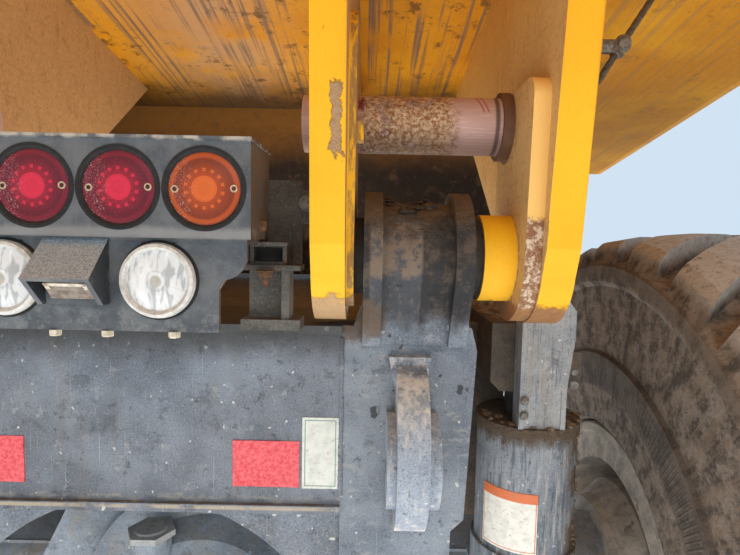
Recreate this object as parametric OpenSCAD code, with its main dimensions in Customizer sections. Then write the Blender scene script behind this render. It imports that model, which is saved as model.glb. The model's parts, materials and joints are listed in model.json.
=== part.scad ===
// Rear end section of an articulated dump truck: the tail of the rear frame with its
// pivot castings, the rear axle on two suspension struts, two wheels, the lamp unit,
// and the tail of the dump body hinged on the frame.
// X is to the truck's right, Y forward, Z up, millimetres. The shapes are laid out from
// the ground, the centreline and the axle, and placed() moves the origin to the middle
// of the bolted splice where this section joins the front of the rear frame.

/* [Stance] */
// Radius of the unloaded tyre over its lugs, which is the axle's height too
tyre_r = 960; // [940:1:975]
// Overall width of a tyre
tyre_w = 750; // [700:5:780]
// Distance from the centreline to the middle of a tyre
track_half = 1411; // [1390:1:1500]
// Distance from the axle forward to the bolted splice
splice_y = 1000; // [950:5:1200]

/* [Tyre] */
// Lugs on each shoulder
lug_count = 27; // [20:1:28]
// Width of a groove at its floor
groove_w = 46; // [40:1:60]
// Slant of the grooves across the tread, in degrees
groove_slant = 40; // [30:1:45]
// Turn of the wheels in the rest pose, in degrees
wheel_turn = 11.4; // [0:0.1:13]
// Outer radius of the raised rib below the shoulder lugs
rib_r = 874; // [865:1:880]
// Width of the raised rib on the sidewall
rib_w = 52; // [40:1:60]
// Outer radius of the smooth band round the rim
band_r = 614; // [600:1:660]

/* [Rim and hub] */
// Radius over the rim flanges
flange_r = 406; // [400:1:415]
// Radius of the rim's bead seat
seat_r = 318; // [312:1:325]
// Distance between the rim flanges
rim_w = 650; // [620:5:670]
// Wall of the rim
rim_t = 16; // [10:1:20]
// How far the rim's curled lips stand out from the flanges
lip_out = 25; // [20:1:30]
// Radius of the fixed brake housing inside the rim
brake_r = 240; // [225:1:260]
// Distance from the tyre's middle to the brake housing's inner face
brake_in = 400; // [385:1:410]
// Radius of the spindle that carries the hub
spindle_r = 110; // [90:1:125]
// Radius of the turning hub's cover
hub_r = 215; // [190:1:230]
// Wheel nuts on each hub
nut_count = 20; // [12:1:24]
// Radial clearance of a running fit
running_gap = 0.05; // [0.03:0.01:0.1]

/* [Axle] */
// Radius of the banjo round the differential
banjo_r = 330; // [300:5:360]
// Radius of the axle tubes
axle_tube_r = 150; // [120:5:165]
// Half depth of the banjo
banjo_half = 160; // [155:1:175]
// Depth of the rear cover behind the axle
cover_depth = 290; // [270:5:310]
// Height of the axle's box sections beside the banjo
axle_box_h = 340; // [300:5:380]

/* [Rear frame] */
// Distance from the centreline to the middle of a rail
rail_x = 450; // [440:1:460]
// Width of a rail
rail_w = 190; // [160:2:200]
// Height of the top of the rails above the ground
rail_top = 1741; // [1735:1:1760]
// Height of a rail
rail_h = 310; // [280:2:330]
// Distance of the tail panel's face behind the axle
tail_y = 611; // [590:1:630]
// Depth of the tail cross-member
tail_depth = 200; // [160:5:240]
// Half width of the tail panel between the castings
panel_half = 343; // [335:1:345]
// Depth of the tail panel's underside below the rails' top
panel_drop = 306; // [296:1:312]
// Thickness of the flanges above and below the tail panel
panel_flange = 14; // [8:1:25]
// Radius of the arch over the differential in the web below the tail panel
arch_r = 350; // [345:1:360]
// Thickness of a splice flange
splice_t = 40; // [25:1:50]
// Radius of the splice's bolt holes
splice_hole_r = 16.5; // [12:0.5:20]
// Spacing of the splice's holes across one flange
splice_col = 220; // [190:5:240]
// Spacing of the splice's rows of holes
splice_row = 280; // [240:5:290]

/* [Body hinge] */
// Distance of the hinge's axis behind the axle
hinge_y = 589; // [580:1:600]
// Height of the hinge's axis above the rails' top
hinge_up = 123; // [120:1:135]
// Radius of the hinge pin
hinge_pin_r = 45; // [35:1:50]
// Radius of the casting's eye between its cheeks
eye_r = 86; // [75:1:90]
// Radius of the eye's cheeks
cheek_r = 104; // [95:1:106]
// Thickness of the eye's cheeks
cheek_t = 28; // [20:1:35]
// Distance from the centreline to the eye's inner face
eye_x = 376; // [374:1:380]
// Width of the eye over its cheeks
eye_w = 164; // [150:1:164]
// Radius of the ears' lower ends
ear_r = 105; // [100:1:106]
// Distance from the centreline to the inner ear's inner face
ear_in_x = 299; // [297:1:301]
// Thickness of the ears' main plates
ear_t = 50; // [46:1:51]
// Distance from the centreline to the outer ear's main plate
ear_out_x = 636; // [634:1:638]
// Thickness of the plate that doubles the outer ear
doubler_t = 25; // [20:1:30]
// Thickness of the thin plate on the inner ear
inner_doubler_t = 12; // [8:1:14]
// Radius of the outer ear's boss round the pin
boss_r = 70; // [60:1:80]
// Length of the outer ear's boss beside the doubler
boss_l = 51; // [45:1:55]
// Side gap between an ear's boss and the eye
side_gap = 1; // [0.5:0.5:3]

/* [Lock pin] */
// Radius of the stored body lock pin
lock_pin_r = 47; // [40:1:50]
// Distance of the lock pin's axis ahead of the hinge's axis
lock_pin_ahead = 40; // [30:1:50]
// Height of the lock pin's axis above the hinge's axis
lock_pin_up = 219; // [210:1:230]
// How far the lock pin stands out of the inner ear
lock_pin_out = 28; // [20:1:40]

/* [Dump body] */
// Height of the floor's underside above the rails' top, over the axle
floor_up = 615; // [610:1:630]
// Rise of the floor towards the tail, in degrees
floor_rise = 9.2; // [8.8:0.1:9.6]
// Thickness of the floor and the sides
plate_t = 20; // [12:1:25]
// Half width of the floor
floor_half = 1405; // [1380:5:1450]
// Distance of the body's tail behind the axle
body_tail = 1880; // [1800:5:1950]
// Height of the sides above the floor
side_h = 1150; // [900:10:1300]
// How far the sides lean out at their top
side_lean = 180; // [100:5:220]
// Width and height of the box rail along the sides' top
top_rail = 130; // [100:5:150]
// Distance of the cross bolster's rear face ahead of the axle
bolster_y = 320; // [310:5:340]
// Half width of the cross bolster below the floor
bolster_half = 1000; // [900:10:1010]
// Clearance between the body's sills and the pads that they rest on
rest_gap = 0.3; // [0.2:0.1:1]
// Gap left at a seat on a slanted or round face
seat_gap = 0.3; // [0.1:0.1:0.5]

/* [Suspension] */
// Distance from the centreline to a strut
strut_x = 738; // [725:1:745]
// Distance of the struts behind the axle
strut_y = 319; // [310:1:325]
// Radius of a strut's barrel
strut_r = 106; // [95:1:110]
// Height of the barrel's top above the axle
barrel_up = 554; // [540:1:565]
// Radius of a strut's rod
strut_rod_r = 50; // [45:1:56]
// Length of the guard over the strut's upper end
guard_l = 202; // [190:1:210]
// Height of the guard's top above the rails' top
guard_up = 38; // [30:1:45]

/* [Lamps] */
// Half width of the lamp housing
lamp_half = 229; // [222:1:232]
// Height of the lamp housing's underside above the rails' top
lamp_up = 148; // [144:1:152]
// Height of the lamp housing
lamp_h = 132; // [125:1:140]
// Distance of the lamp housing's face behind the axle
lamp_face = 769; // [765:1:772]
// Depth of the lamp housing
lamp_depth = 121; // [110:1:126]
// Radius of a lamp's hole
lamp_hole_r = 50; // [48:0.5:52]
// Radius of a lamp's lens
lamp_r = 47.5; // [45:0.5:47.5]
// Distances of the lamps from the centreline
lamp_x = [56, 168];
// Half width of the bracket plate below the housing
bracket_half = 221; // [216:1:226]
// Height of the bracket plate below the housing
bracket_h = 127; // [122:1:132]
// Distance of a reversing lamp from the centreline
reverse_x = 103; // [100:1:106]
// Radius over a reversing lamp's bezel
reverse_r = 49; // [45:1:50]

/* [Hidden] */
LEFT = -1;
RIGHT = 1;
$fn = 96;

rail_bottom = rail_top - rail_h;
splice_z = rail_top - rail_h / 2;
casting_top = rail_top + 10;
casting_front = tail_depth - tail_y;
axle_z = tyre_r;
panel_bottom = rail_top - panel_drop;
hinge_z = rail_top + hinge_up;
lock_pin_y = hinge_y - lock_pin_ahead;
lock_pin_z = hinge_z + lock_pin_up;
floor_z = rail_top + floor_up;
lamp_bottom = rail_top + lamp_up;
barrel_top = axle_z + barrel_up;
eye_end = eye_x + eye_w;
ear_in_end = ear_in_x + ear_t;
ear_out_end = ear_out_x + ear_t;
doubler_x = ear_out_x - doubler_t;

frame_grey = [0.27, 0.31, 0.35];
body_yellow = [0.96, 0.72, 0.10];
tyre_brown = [0.33, 0.28, 0.23];
dust_brown = [0.55, 0.46, 0.36];
lamp_grey = [0.22, 0.24, 0.26];

// Moves a shape from the truck's own layout to the splice's origin, mirrored for the left
module placed(side = RIGHT) {
  translate([0, -splice_y, -splice_z])
    mirror([side == LEFT ? 1 : 0, 0, 0]) children();
}

// Draws a shape on the right and again mirrored on the left
module both() {
  children();
  mirror([1, 0, 0]) children();
}

// A bar along X, from x to x + length, at y and z
module x_bar(r, x, length, y = 0, z = 0) {
  translate([x, y, z]) rotate([0, 90, 0]) cylinder(r = r, h = length);
}

// A plate in the YZ plane from a 2D outline drawn as [y, z], from x to x + t
module yz_plate(x, t) {
  translate([x, 0, 0]) rotate([90, 0, 90]) linear_extrude(t) children();
}

// A plate in the XZ plane from a 2D outline drawn as [x, z], its rear face at y
module xz_plate(y, t) {
  translate([0, y + t, 0]) rotate([90, 0, 0]) linear_extrude(t) children();
}

// A straight round bar between two points
module rod(a, b, r) {
  d = b - a;
  span = norm(d);
  translate(a)
    rotate([0, acos(d[2] / span), atan2(d[1], d[0])])
      cylinder(r = r, h = span);
}

// Height of the floor's underside at y
function floor_at(y) = floor_z - y * tan(floor_rise);

// Height where a piece ends that is welded under the floor at y
function under_floor(y) = floor_at(y) - seat_gap;

// Rail: a closed box section from the casting to the splice
module frame_rail() {
  color(frame_grey)
    translate([rail_x - rail_w / 2, casting_front, rail_bottom])
      cube([rail_w, splice_y - splice_t - casting_front, rail_h]);
}

// Splice flange: a plate with two columns of bolt holes
flange_margin = 45;
module splice_flange() {
  w = splice_col + 2 * flange_margin;
  h = splice_row + 2 * flange_margin;
  color(frame_grey)
    difference() {
      translate([rail_x - w / 2, splice_y - splice_t, splice_z - h / 2])
        cube([w, splice_t, h]);
      for (i = [-1, 1], j = [-1, 1])
        translate([rail_x + i * splice_col / 2, splice_y + 1, splice_z + j * splice_row / 2])
          rotate([90, 0, 0]) cylinder(r = splice_hole_r, h = splice_t + 2);
    }
}

// Tail cross-member: a box with a proud flange above and below its panel, and a web below
// it that arches over the differential
flange_lip = 9;
web_set = 8;
web_t = 16;
arch_up = 143;
casting_low = rail_bottom - 120;
module tail_crossmember() {
  color(frame_grey)
    union() {
      xz_plate(-tail_y + web_set, web_t)
        difference() {
          translate([-panel_half, casting_low])
            square([2 * panel_half, panel_bottom - casting_low + 5]);
          translate([0, axle_z + arch_up]) circle(r = arch_r);
        }
      translate([-panel_half, -tail_y, panel_bottom])
        cube([2 * panel_half, tail_depth, casting_top - panel_flange - panel_bottom]);
      for (z = [panel_bottom, casting_top - panel_flange])
        translate([-panel_half, -tail_y - flange_lip, z])
          cube([2 * panel_half, tail_depth + flange_lip, panel_flange]);
    }
}

// Deck plate between the rails, ahead of the tail cross-member
deck_t = 12;
deck_end = 700;
module frame_deck() {
  inner = rail_x - rail_w / 2;
  color(frame_grey)
    translate([-inner, casting_front, rail_top - deck_t])
      cube([2 * inner, deck_end - casting_front, deck_t]);
}

// Middle cross-member: a round tube between the rails with the top link's bracket
mid_y = 620;
mid_r = 95;
top_link_x = 190;
top_eye_half = 60;
module mid_crossmember() {
  inner = rail_x - rail_w / 2;
  z = splice_z - 20;
  color(frame_grey)
    union() {
      x_bar(mid_r, -inner, 2 * inner, mid_y, z);
      for (s = [-1, 1])
        difference() {
          translate([s * top_link_x - top_eye_half - 20, mid_y - 210, z - 70])
            cube([2 * top_eye_half + 40, 210, 120]);
          translate([s * top_link_x - top_eye_half - fork_gap, mid_y - 211, z - 71])
            cube([2 * (top_eye_half + fork_gap), 111, 122]);
        }
    }
}

// Pivot casting: the block at the rail's tail and the eye that carries the body
neck_back = 30;
neck_front = 150;
neck_foot = 28;
foot_out = 16;
foot_h = 36;
foot_l = 70;
module casting_outline() {
  polygon([
    [panel_half, casting_top], [panel_half + 210, casting_top],
    [panel_half + 220, casting_top - 38], [panel_half + 207, rail_bottom - 5],
    [panel_half + 186, rail_bottom - 25], [panel_half + 184, casting_low],
    [panel_half, casting_low]
  ]);
}
module eye_outline(r, back) {
  union() {
    translate([-hinge_y, hinge_z]) circle(r = r);
    polygon([
      [-hinge_y - r * cos(12), hinge_z - r * sin(12)],
      [-hinge_y - back, casting_top - neck_foot],
      [-hinge_y + neck_front, casting_top - neck_foot],
      [-hinge_y + r * cos(30), hinge_z + r * sin(30)]
    ]);
  }
}
module pivot_casting() {
  color(frame_grey)
    difference() {
      union() {
        xz_plate(-tail_y, tail_depth) casting_outline();
        yz_plate(eye_x, eye_w) eye_outline(eye_r, neck_back);
        for (x = [eye_x, eye_end - cheek_t])
          yz_plate(x, cheek_t) eye_outline(cheek_r, neck_back + 14);
        xz_plate(-tail_y - 10, foot_l)
          polygon([
            [eye_x - foot_out, casting_top - 1], [eye_end + foot_out / 2, casting_top - 1],
            [eye_end - 1, casting_top + foot_h], [eye_x + 1, casting_top + foot_h]
          ]);
      }
      x_bar(hinge_pin_r + running_gap, eye_x - 1, eye_w + 2, -hinge_y, hinge_z);
    }
}

// Tow lug: a thick curved plate on a flared foot, with a cross hole through its side pads
lug_x = 431;
lug_t = 48;
lug_reach = 118;
lug_h = 271;
lug_low = panel_bottom - 14;
lug_top = lug_low + lug_h;
foot_t = 16;
foot_drop = 50;
foot_up = 12;
pad_r = 75;
pad_in = 14;
pad_t = 19;
pad_out = 29;
pad_drop = 14;
tow_hole_r = 22;
module pad_outline(z) {
  intersection() {
    translate([-tail_y - pad_out, z]) circle(r = pad_r);
    translate([-tail_y - 2 * pad_r, z - pad_r]) square([2 * pad_r, 2 * pad_r]);
  }
}
module tow_lug() {
  half = lug_h / 2;
  mid_z = lug_low + half;
  hole_z = mid_z - pad_drop;
  color(frame_grey)
    difference() {
      union() {
        yz_plate(lug_x, lug_t)
          intersection() {
            translate([-tail_y, mid_z]) scale([lug_reach / half, 1]) circle(r = half);
            translate([-tail_y - lug_reach, lug_low]) square([lug_reach, 2 * half]);
          }
        xz_plate(-tail_y - foot_t, foot_t)
          polygon([
            [lug_x, lug_top - foot_drop], [lug_x + lug_t, lug_top - foot_drop],
            [lug_x + lug_t + 8, lug_top + foot_up], [lug_x - 12, lug_top + foot_up]
          ]);
        yz_plate(lug_x - pad_in, lug_t + pad_in + pad_t) pad_outline(hole_z);
      }
      x_bar(tow_hole_r, lug_x - pad_in - 1, lug_t + pad_in + pad_t + 2,
            -tail_y - pad_out, hole_z);
    }
}

// Strut outrigger: a box beside the rail, joined to it ahead of the strut, that holds the
// strut's upper end in its underside
outrigger_x = 642;
outrigger_r = 20;
outrigger_l = 362;
outrigger_out = 62;
outrigger_top = rail_top - 20;
outrigger_low = rail_top - 163;
socket_l = 80;
web_back = 152;
web_h = 110;
gusset_y = -190;
gusset_t = 20;
gusset_low = rail_bottom - 221;
tab = [37, 9, 75];
module strut_outrigger() {
  rail_side = rail_x + rail_w / 2;
  x1 = strut_x + outrigger_out;
  y = casting_front + guard_flange;
  color(frame_grey)
    difference() {
      union() {
        xz_plate(y, outrigger_l)
          polygon([
            [outrigger_x, outrigger_top], [x1, outrigger_top], [x1, outrigger_low + outrigger_r],
            [x1 - outrigger_r, outrigger_low], [outrigger_x + outrigger_r, outrigger_low],
            [outrigger_x, outrigger_low + outrigger_r]
          ]);
        translate([rail_side, y + web_back, outrigger_low + 10])
          cube([outrigger_x - rail_side + 1, outrigger_l - web_back, web_h]);
        xz_plate(gusset_y, gusset_t)
          polygon([
            [rail_side, outrigger_low + 20], [outrigger_x + 80, outrigger_low + 20],
            [outrigger_x + 60, gusset_low], [outrigger_x - 40, gusset_low],
            [rail_side, rail_bottom - 20]
          ]);
        translate([x1 - 10, y - tab[1] + 1, outrigger_low + 12]) cube(tab);
      }
      translate([strut_x, -strut_y, outrigger_low - 1])
        cylinder(r = strut_rod_r, h = socket_l + 1);
    }
}

// Pads on the rails that the body's sills rest on
pad_y = 640;
pad_h = 60;
pad_l = 260;
pad_w = 140;
module rest_pads() {
  color([0.1, 0.1, 0.1])
    both()
      translate([rail_x - pad_w / 2, pad_y, rail_top]) cube([pad_w, pad_l, pad_h]);
}

// Hangers below the rails for the lower links
hanger_y = 860;
hanger_z = rail_bottom - 248;
link_pin_r = 30;
link_eye_r = 62;
link_eye_w = 80;
fork_t = 30;
fork_gap = 0.3;
hanger_r = 75;
hanger_front = 90;
hanger_back = 150;
module link_hangers() {
  inner = link_eye_w / 2 + fork_gap;
  color(frame_grey)
    both()
      for (s = [-1, 1])
        difference() {
          yz_plate(rail_x + (s > 0 ? inner : -inner - fork_t), fork_t)
            union() {
              translate([hanger_y, hanger_z]) circle(r = hanger_r);
              polygon([
                [hanger_y - hanger_r, hanger_z], [hanger_y + hanger_r, hanger_z],
                [hanger_y + hanger_front, rail_bottom], [hanger_y - hanger_back, rail_bottom]
              ]);
            }
          x_bar(link_pin_r, rail_x - 100, 200, hanger_y, hanger_z);
        }
}

// Lower links with their eyes and pins, from the axle's brackets to the hangers
axle_link_y = 60;
axle_link_z = axle_z - 209;
module link_eye(y, z) {
  x_bar(link_eye_r, rail_x - link_eye_w / 2, link_eye_w, y, z);
  x_bar(link_pin_r, rail_x - link_eye_w / 2 - fork_t - fork_gap - 8,
        link_eye_w + 2 * (fork_t + fork_gap + 8), y, z);
}
module lower_links() {
  color(frame_grey)
    both()
      union() {
        link_eye(hanger_y, hanger_z);
        link_eye(axle_link_y, axle_link_z);
        rod([rail_x, axle_link_y, axle_link_z], [rail_x, hanger_y, hanger_z], 36);
      }
}

// Top link: two bars from the differential's top to the middle cross-member
top_ball_y = 40;
top_ball_z = axle_z + 393;
module top_link() {
  z = splice_z - 30;
  color(frame_grey)
    union() {
      translate([0, top_ball_y, top_ball_z - 40]) cylinder(r = 75, h = 80);
      for (s = [-1, 1]) {
        rod([s * 45, top_ball_y + 20, top_ball_z], [s * top_link_x, mid_y - 155, z + 10], 30);
        x_bar(44, s * top_link_x - top_eye_half, 2 * top_eye_half, mid_y - 155, z + 10);
      }
    }
}

// Strut barrels with their lower eyes
strut_foot_z = axle_z + 73;
strut_eye_r = 70;
rim_h = 22;
collar_l = 120;
module strut_barrels() {
  color(frame_grey)
    both()
      union() {
        translate([strut_x, -strut_y, strut_foot_z])
          cylinder(r = 42, h = strut_eye_r + 20);
        translate([strut_x, -strut_y, strut_foot_z + strut_eye_r + 15])
          cylinder(r = strut_r, h = barrel_top - strut_foot_z - strut_eye_r - 15);
        translate([strut_x, -strut_y, barrel_top - rim_h])
          cylinder(r = strut_r + 4, h = rim_h);
        translate([strut_x, -strut_y, strut_foot_z + strut_eye_r + 15])
          cylinder(r = strut_r + 7, h = collar_l);
        x_bar(strut_eye_r, strut_x - 45, 90, -strut_y, strut_foot_z);
        x_bar(link_pin_r, strut_x - 95, 190, -strut_y, strut_foot_z);
      }
}

// Strut rods between the barrels and the outriggers
module strut_rods() {
  color([0.5, 0.5, 0.5])
    both()
      translate([strut_x, -strut_y, barrel_top])
        cylinder(r = strut_rod_r, h = outrigger_low + socket_l - barrel_top - fork_gap);
}

// Guards behind the struts' upper ends: a channel whose inner flange runs down to the barrel
guard_x = ear_out_end + 5;
guard_w = 94;
guard_t = 10;
guard_flange = 38;
module strut_guards() {
  y = casting_front;
  top = rail_top + guard_up;
  low = top - guard_l;
  end = guard_x + guard_w;
  color(frame_grey)
    both()
      union() {
        xz_plate(y - guard_t, guard_t)
          polygon([
            [guard_x, low], [end, low + 20], [end + 12, top - 80], [end + 12, top - 24],
            [end - 6, top], [guard_x, top]
          ]);
        translate([guard_x, y - guard_t, barrel_top + seat_gap])
          cube([guard_t, guard_t + guard_flange, top - barrel_top - seat_gap]);
        translate([end - guard_t, y - guard_t, barrel_top + seat_gap])
          cube([guard_t, guard_t + guard_flange, outrigger_top - barrel_top - seat_gap]);
        translate([guard_x, y - guard_t + 3, barrel_top + seat_gap])
          cube([guard_w, guard_t - 4, low + 40 - barrel_top]);
      }
}

// Axle housing: the banjo, its box arms, the tubes and the strut and link brackets
nose_y = 330;
shoulder_x = 440;
shoulder_up = 300;
module axle_housing() {
  arm_end = track_half - brake_in + 15;
  fork_in = 50;
  color(frame_grey)
    difference() {
      union() {
        translate([0, banjo_half, axle_z]) rotate([90, 0, 0])
          cylinder(r = banjo_r, h = 2 * banjo_half);
        x_bar(axle_tube_r, -arm_end, 2 * arm_end, 0, axle_z);
        xz_plate(-banjo_half, banjo_half)
          polygon([
            [-shoulder_x, axle_z + 100], [shoulder_x, axle_z + 100],
            [shoulder_x - 100, axle_z + shoulder_up], [-shoulder_x + 100, axle_z + shoulder_up]
          ]);
        for (s = [-1, 1]) {
          translate([s * 470 - 230, -110, axle_z - axle_box_h / 2 + 60])
            cube([460, 220, axle_box_h - 120]);
          for (k = [-1, 1])
            yz_plate(s * strut_x + k * (fork_in + 15) - 15, 30)
              union() {
                translate([-strut_y, strut_foot_z]) circle(r = 72);
                polygon([
                  [-strut_y - 72, strut_foot_z], [-strut_y + 72, strut_foot_z + 10],
                  [0, axle_z + 140], [0, axle_z - 140], [-strut_y - 40, strut_foot_z - 120]
                ]);
              }
          for (k = [-1, 1])
            yz_plate(s * rail_x + k * (link_eye_w / 2 + fork_gap + 15) - 15, 30)
              union() {
                translate([axle_link_y, axle_link_z]) circle(r = 66);
                polygon([
                  [axle_link_y - 66, axle_link_z], [axle_link_y + 66, axle_link_z],
                  [110, axle_z - 60], [-110, axle_z - 60]
                ]);
              }
        }
        translate([0, top_ball_y, axle_z]) cylinder(r = 70, h = top_ball_z - 40 - axle_z);
        translate([0, banjo_half, axle_z]) rotate([-90, 0, 0])
          cylinder(r1 = 230, r2 = 130, h = nose_y - banjo_half);
      }
      for (s = [-1, 1]) {
        x_bar(link_pin_r, s * strut_x - 100, 200, -strut_y, strut_foot_z);
        x_bar(link_pin_r, s * rail_x - 90, 180, axle_link_y, axle_link_z);
        translate([s * strut_x - 45.3, -strut_y - 75, strut_foot_z - 75])
          cube([90.6, 150, 160]);
      }
    }
}

// Rear cover of the differential: a shallow dome with a flange and a boss for the filler
// plug, reached by hand below the tail panel
cap_x = -120;
cap_y = -255;
cap_up = 220;
cap_boss_r = 46;
cap_boss_l = 130;
module diff_cover() {
  bulge = cover_depth - banjo_half;
  color(frame_grey)
    union() {
      translate([0, -banjo_half, axle_z]) rotate([90, 0, 0])
        rotate_extrude()
          polygon([
            [0, 0], [banjo_r - 10, 0], [banjo_r - 10, 24], [banjo_r - 92, 31],
            [banjo_r - 125, bulge - 40], [150, bulge - 5], [0, bulge]
          ]);
      translate([cap_x, cap_y, axle_z + cap_up - cap_boss_l])
        cylinder(r = cap_boss_r, h = cap_boss_l);
    }
}

// Filler plug: a large flat hexagon with a round top, on its boss
cap_r = 57;
cap_h = 14;
module filler_cap() {
  color(frame_grey)
    translate([cap_x, cap_y, axle_z + cap_up])
      union() {
        cylinder(r = cap_r, h = cap_h, $fn = 6);
        translate([0, 0, cap_h - 1]) cylinder(r = cap_r - 19, h = 7);
      }
}

// Input flange on the differential's nose
input_hole_r = 7;
input_ring_r = 74;
input_holes = 8;
input_r = 95;
module input_flange() {
  color([0.4, 0.4, 0.42])
    difference() {
      translate([0, nose_y, axle_z]) rotate([-90, 0, 0])
        union() {
          cylinder(r = 60, h = 60);
          translate([0, 0, 60]) cylinder(r = input_r, h = 20);
        }
      for (i = [0 : input_holes - 1])
        translate([0, nose_y + 79, axle_z]) rotate([-90, 0, 0])
          rotate([0, 0, i * 360 / input_holes + 22.5])
            translate([input_ring_r, 0, -20]) cylinder(r = input_hole_r, h = 22);
    }
}

// Brake housing and spindle, fixed inside the wheel
brake_out = 40;
spindle_l = 150;
module brake_housing() {
  color(dust_brown)
    translate([track_half, 0, axle_z]) rotate([0, 90, 0])
      rotate_extrude()
        polygon([
          [0, -brake_in + 15], [axle_tube_r + 40, -brake_in + 15], [brake_r - 40, -brake_in + 40],
          [brake_r, -brake_in + 90], [brake_r, brake_out], [spindle_r, brake_out],
          [spindle_r, brake_out + spindle_l], [0, brake_out + spindle_l]
        ]);
}

// Rim: barrel, flanges with turned lips, and the disc that bolts to the hub
disc_x = 60;
disc_t = 24;
disc_bore_r = 180;
lip_t = 32;
module rim() {
  half = rim_w / 2;
  color(dust_brown)
    translate([track_half, 0, axle_z]) rotate([0, 90, 0])
      rotate_extrude()
        polygon([
          [seat_r - rim_t, -half - 12], [flange_r - lip_t, -half - 12],
          [flange_r - lip_t + 6, -half - lip_out], [flange_r - 5, -half - lip_out],
          [flange_r, -half - lip_out + 6], [flange_r, -half + 2], [flange_r - 12, -half + 6],
          [seat_r, -half + 6], [seat_r, half - 6], [flange_r - 12, half - 6],
          [flange_r, half - 2], [flange_r, half + lip_out - 6],
          [flange_r - 5, half + lip_out], [flange_r - lip_t + 6, half + lip_out],
          [flange_r - lip_t, half + 12], [seat_r - rim_t, half + 12],
          [seat_r - rim_t, disc_x + disc_t], [disc_bore_r, disc_x + disc_t],
          [disc_bore_r, disc_x], [seat_r - rim_t, disc_x]
        ]);
}

// Hub: the planetary end with its flange, cover and wheel nuts
nut_ring_r = 245;
hub_flange_r = 272;
hub_out = 300;
module hub() {
  color(dust_brown)
    translate([track_half, 0, axle_z]) rotate([0, 90, 0])
      union() {
        rotate_extrude()
          polygon([
            [0, brake_out + spindle_l + 6], [spindle_r + running_gap, brake_out + spindle_l + 6],
            [spindle_r + running_gap, brake_out + 6], [disc_bore_r, brake_out + 6],
            [disc_bore_r, disc_x + disc_t], [hub_flange_r, disc_x + disc_t],
            [hub_flange_r, disc_x + disc_t + 22], [hub_r + 12, disc_x + disc_t + 30],
            [hub_r, hub_out - 40], [hub_r - 25, hub_out - 12], [90, hub_out], [0, hub_out]
          ]);
        for (i = [0 : nut_count - 1])
          rotate([0, 0, i * 360 / nut_count])
            translate([nut_ring_r, 0, disc_x + disc_t + 20]) cylinder(r = 17, h = 24, $fn = 6);
      }
}

// Tyre: a turned carcass with its rib and band, and slanted grooves cut between the lugs.
// half_profile lists [radius, distance from the middle] from the bead out to the tread.
half_tyre = tyre_w / 2;
bead_w = rim_w / 2 - 6;
half_profile = [
  [seat_r, bead_w], [flange_r - 12, bead_w], [flange_r + seat_gap, bead_w + 4],
  [flange_r + 14, half_tyre - 12], [band_r, half_tyre - 2], [band_r + 8, half_tyre - 11],
  [rib_r - rib_w - 14, half_tyre - 15], [rib_r - rib_w, half_tyre - 3],
  [rib_r - 8, half_tyre], [rib_r, half_tyre - 5], [tyre_r - 42, half_tyre - 22],
  [tyre_r - 24, half_tyre - 46], [tyre_r - 10, half_tyre - 120], [tyre_r, half_tyre - 240]
];
module tyre_profile() {
  n = len(half_profile);
  polygon(concat(
    half_profile,
    [for (i = [n - 1 : -1 : 0]) [half_profile[i][0], -half_profile[i][1]]]
  ));
}
groove_lead = 50;
groove_past = 20;
groove_h = 130;
groove_flare = 18;
module groove(s) {
  run = half_tyre + groove_lead + groove_past;
  translate([rib_r + 2, groove_lead * tan(groove_slant), s * (half_tyre + groove_lead)])
    rotate([s > 0 ? 180 - groove_slant : groove_slant, 0, 0])
      linear_extrude(run / cos(groove_slant))
        polygon([
          [0, -groove_w / 2], [groove_h, -groove_w / 2 - groove_flare],
          [groove_h, groove_w / 2 + groove_flare], [0, groove_w / 2]
        ]);
}
module tyre() {
  pitch = 360 / lug_count;
  color(tyre_brown)
    translate([track_half, 0, axle_z]) rotate([0, 90, 0])
      difference() {
        rotate_extrude($fn = 180) tyre_profile();
        for (i = [0 : lug_count - 1])
          for (s = [-1, 1])
            rotate([0, 0, (i + (s > 0 ? 0.5 : 0)) * pitch + wheel_turn]) groove(s);
      }
}

// Dump body's floor: one sloping plate, open at the cut and at the tail
module floor_outline() {
  polygon([
    [splice_y, floor_at(splice_y)], [-body_tail, floor_at(-body_tail)],
    [-body_tail, floor_at(-body_tail) + plate_t], [splice_y, floor_at(splice_y) + plate_t]
  ]);
}
module body_floor() {
  color(body_yellow)
    yz_plate(-floor_half, 2 * floor_half) floor_outline();
}

// Body's sides with the box rail along their top
module body_side() {
  y0 = -body_tail;
  l = splice_y + body_tail;
  drop = l * tan(floor_rise);
  z0 = floor_at(y0);
  color(body_yellow)
    intersection() {
      multmatrix([[1, 0, 0, 0], [0, 1, 0, 0], [0, -tan(floor_rise), 1, 0]])
        translate([0, splice_y, floor_at(splice_y) + splice_y * tan(floor_rise)])
          rotate([90, 0, 0]) linear_extrude(l)
            union() {
              polygon([
                [floor_half, 0], [floor_half + plate_t, 0],
                [floor_half + plate_t + side_lean, side_h], [floor_half + side_lean, side_h]
              ]);
              translate([floor_half + side_lean + plate_t - top_rail, side_h])
                square([top_rail, top_rail]);
            }
      translate([0, y0, z0 - drop - 10]) cube([3000, l, drop + side_h + top_rail + 20]);
    }
}

// Cross bolster: a box beam under the floor that ties the sills and the ears
bolster_t = 90;
bolster_gap = 20;
module body_bolster() {
  front = bolster_y + bolster_t;
  low = rail_top + bolster_gap;
  color(body_yellow)
    yz_plate(-bolster_half, 2 * bolster_half)
      polygon([
        [bolster_y, low], [bolster_y, under_floor(bolster_y)],
        [front, under_floor(front)], [front, low]
      ]);
}

// Body's sills: box beams ahead of the bolster that rest on the frame's pads
sill_half = 80;
module body_sills() {
  low = rail_top + pad_h + rest_gap;
  back = bolster_y + bolster_t;
  color(body_yellow)
    both()
      yz_plate(rail_x - sill_half, 2 * sill_half)
        polygon([
          [back, under_floor(back)], [splice_y, under_floor(splice_y)],
          [splice_y, low], [back, low]
        ]);
}

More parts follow.
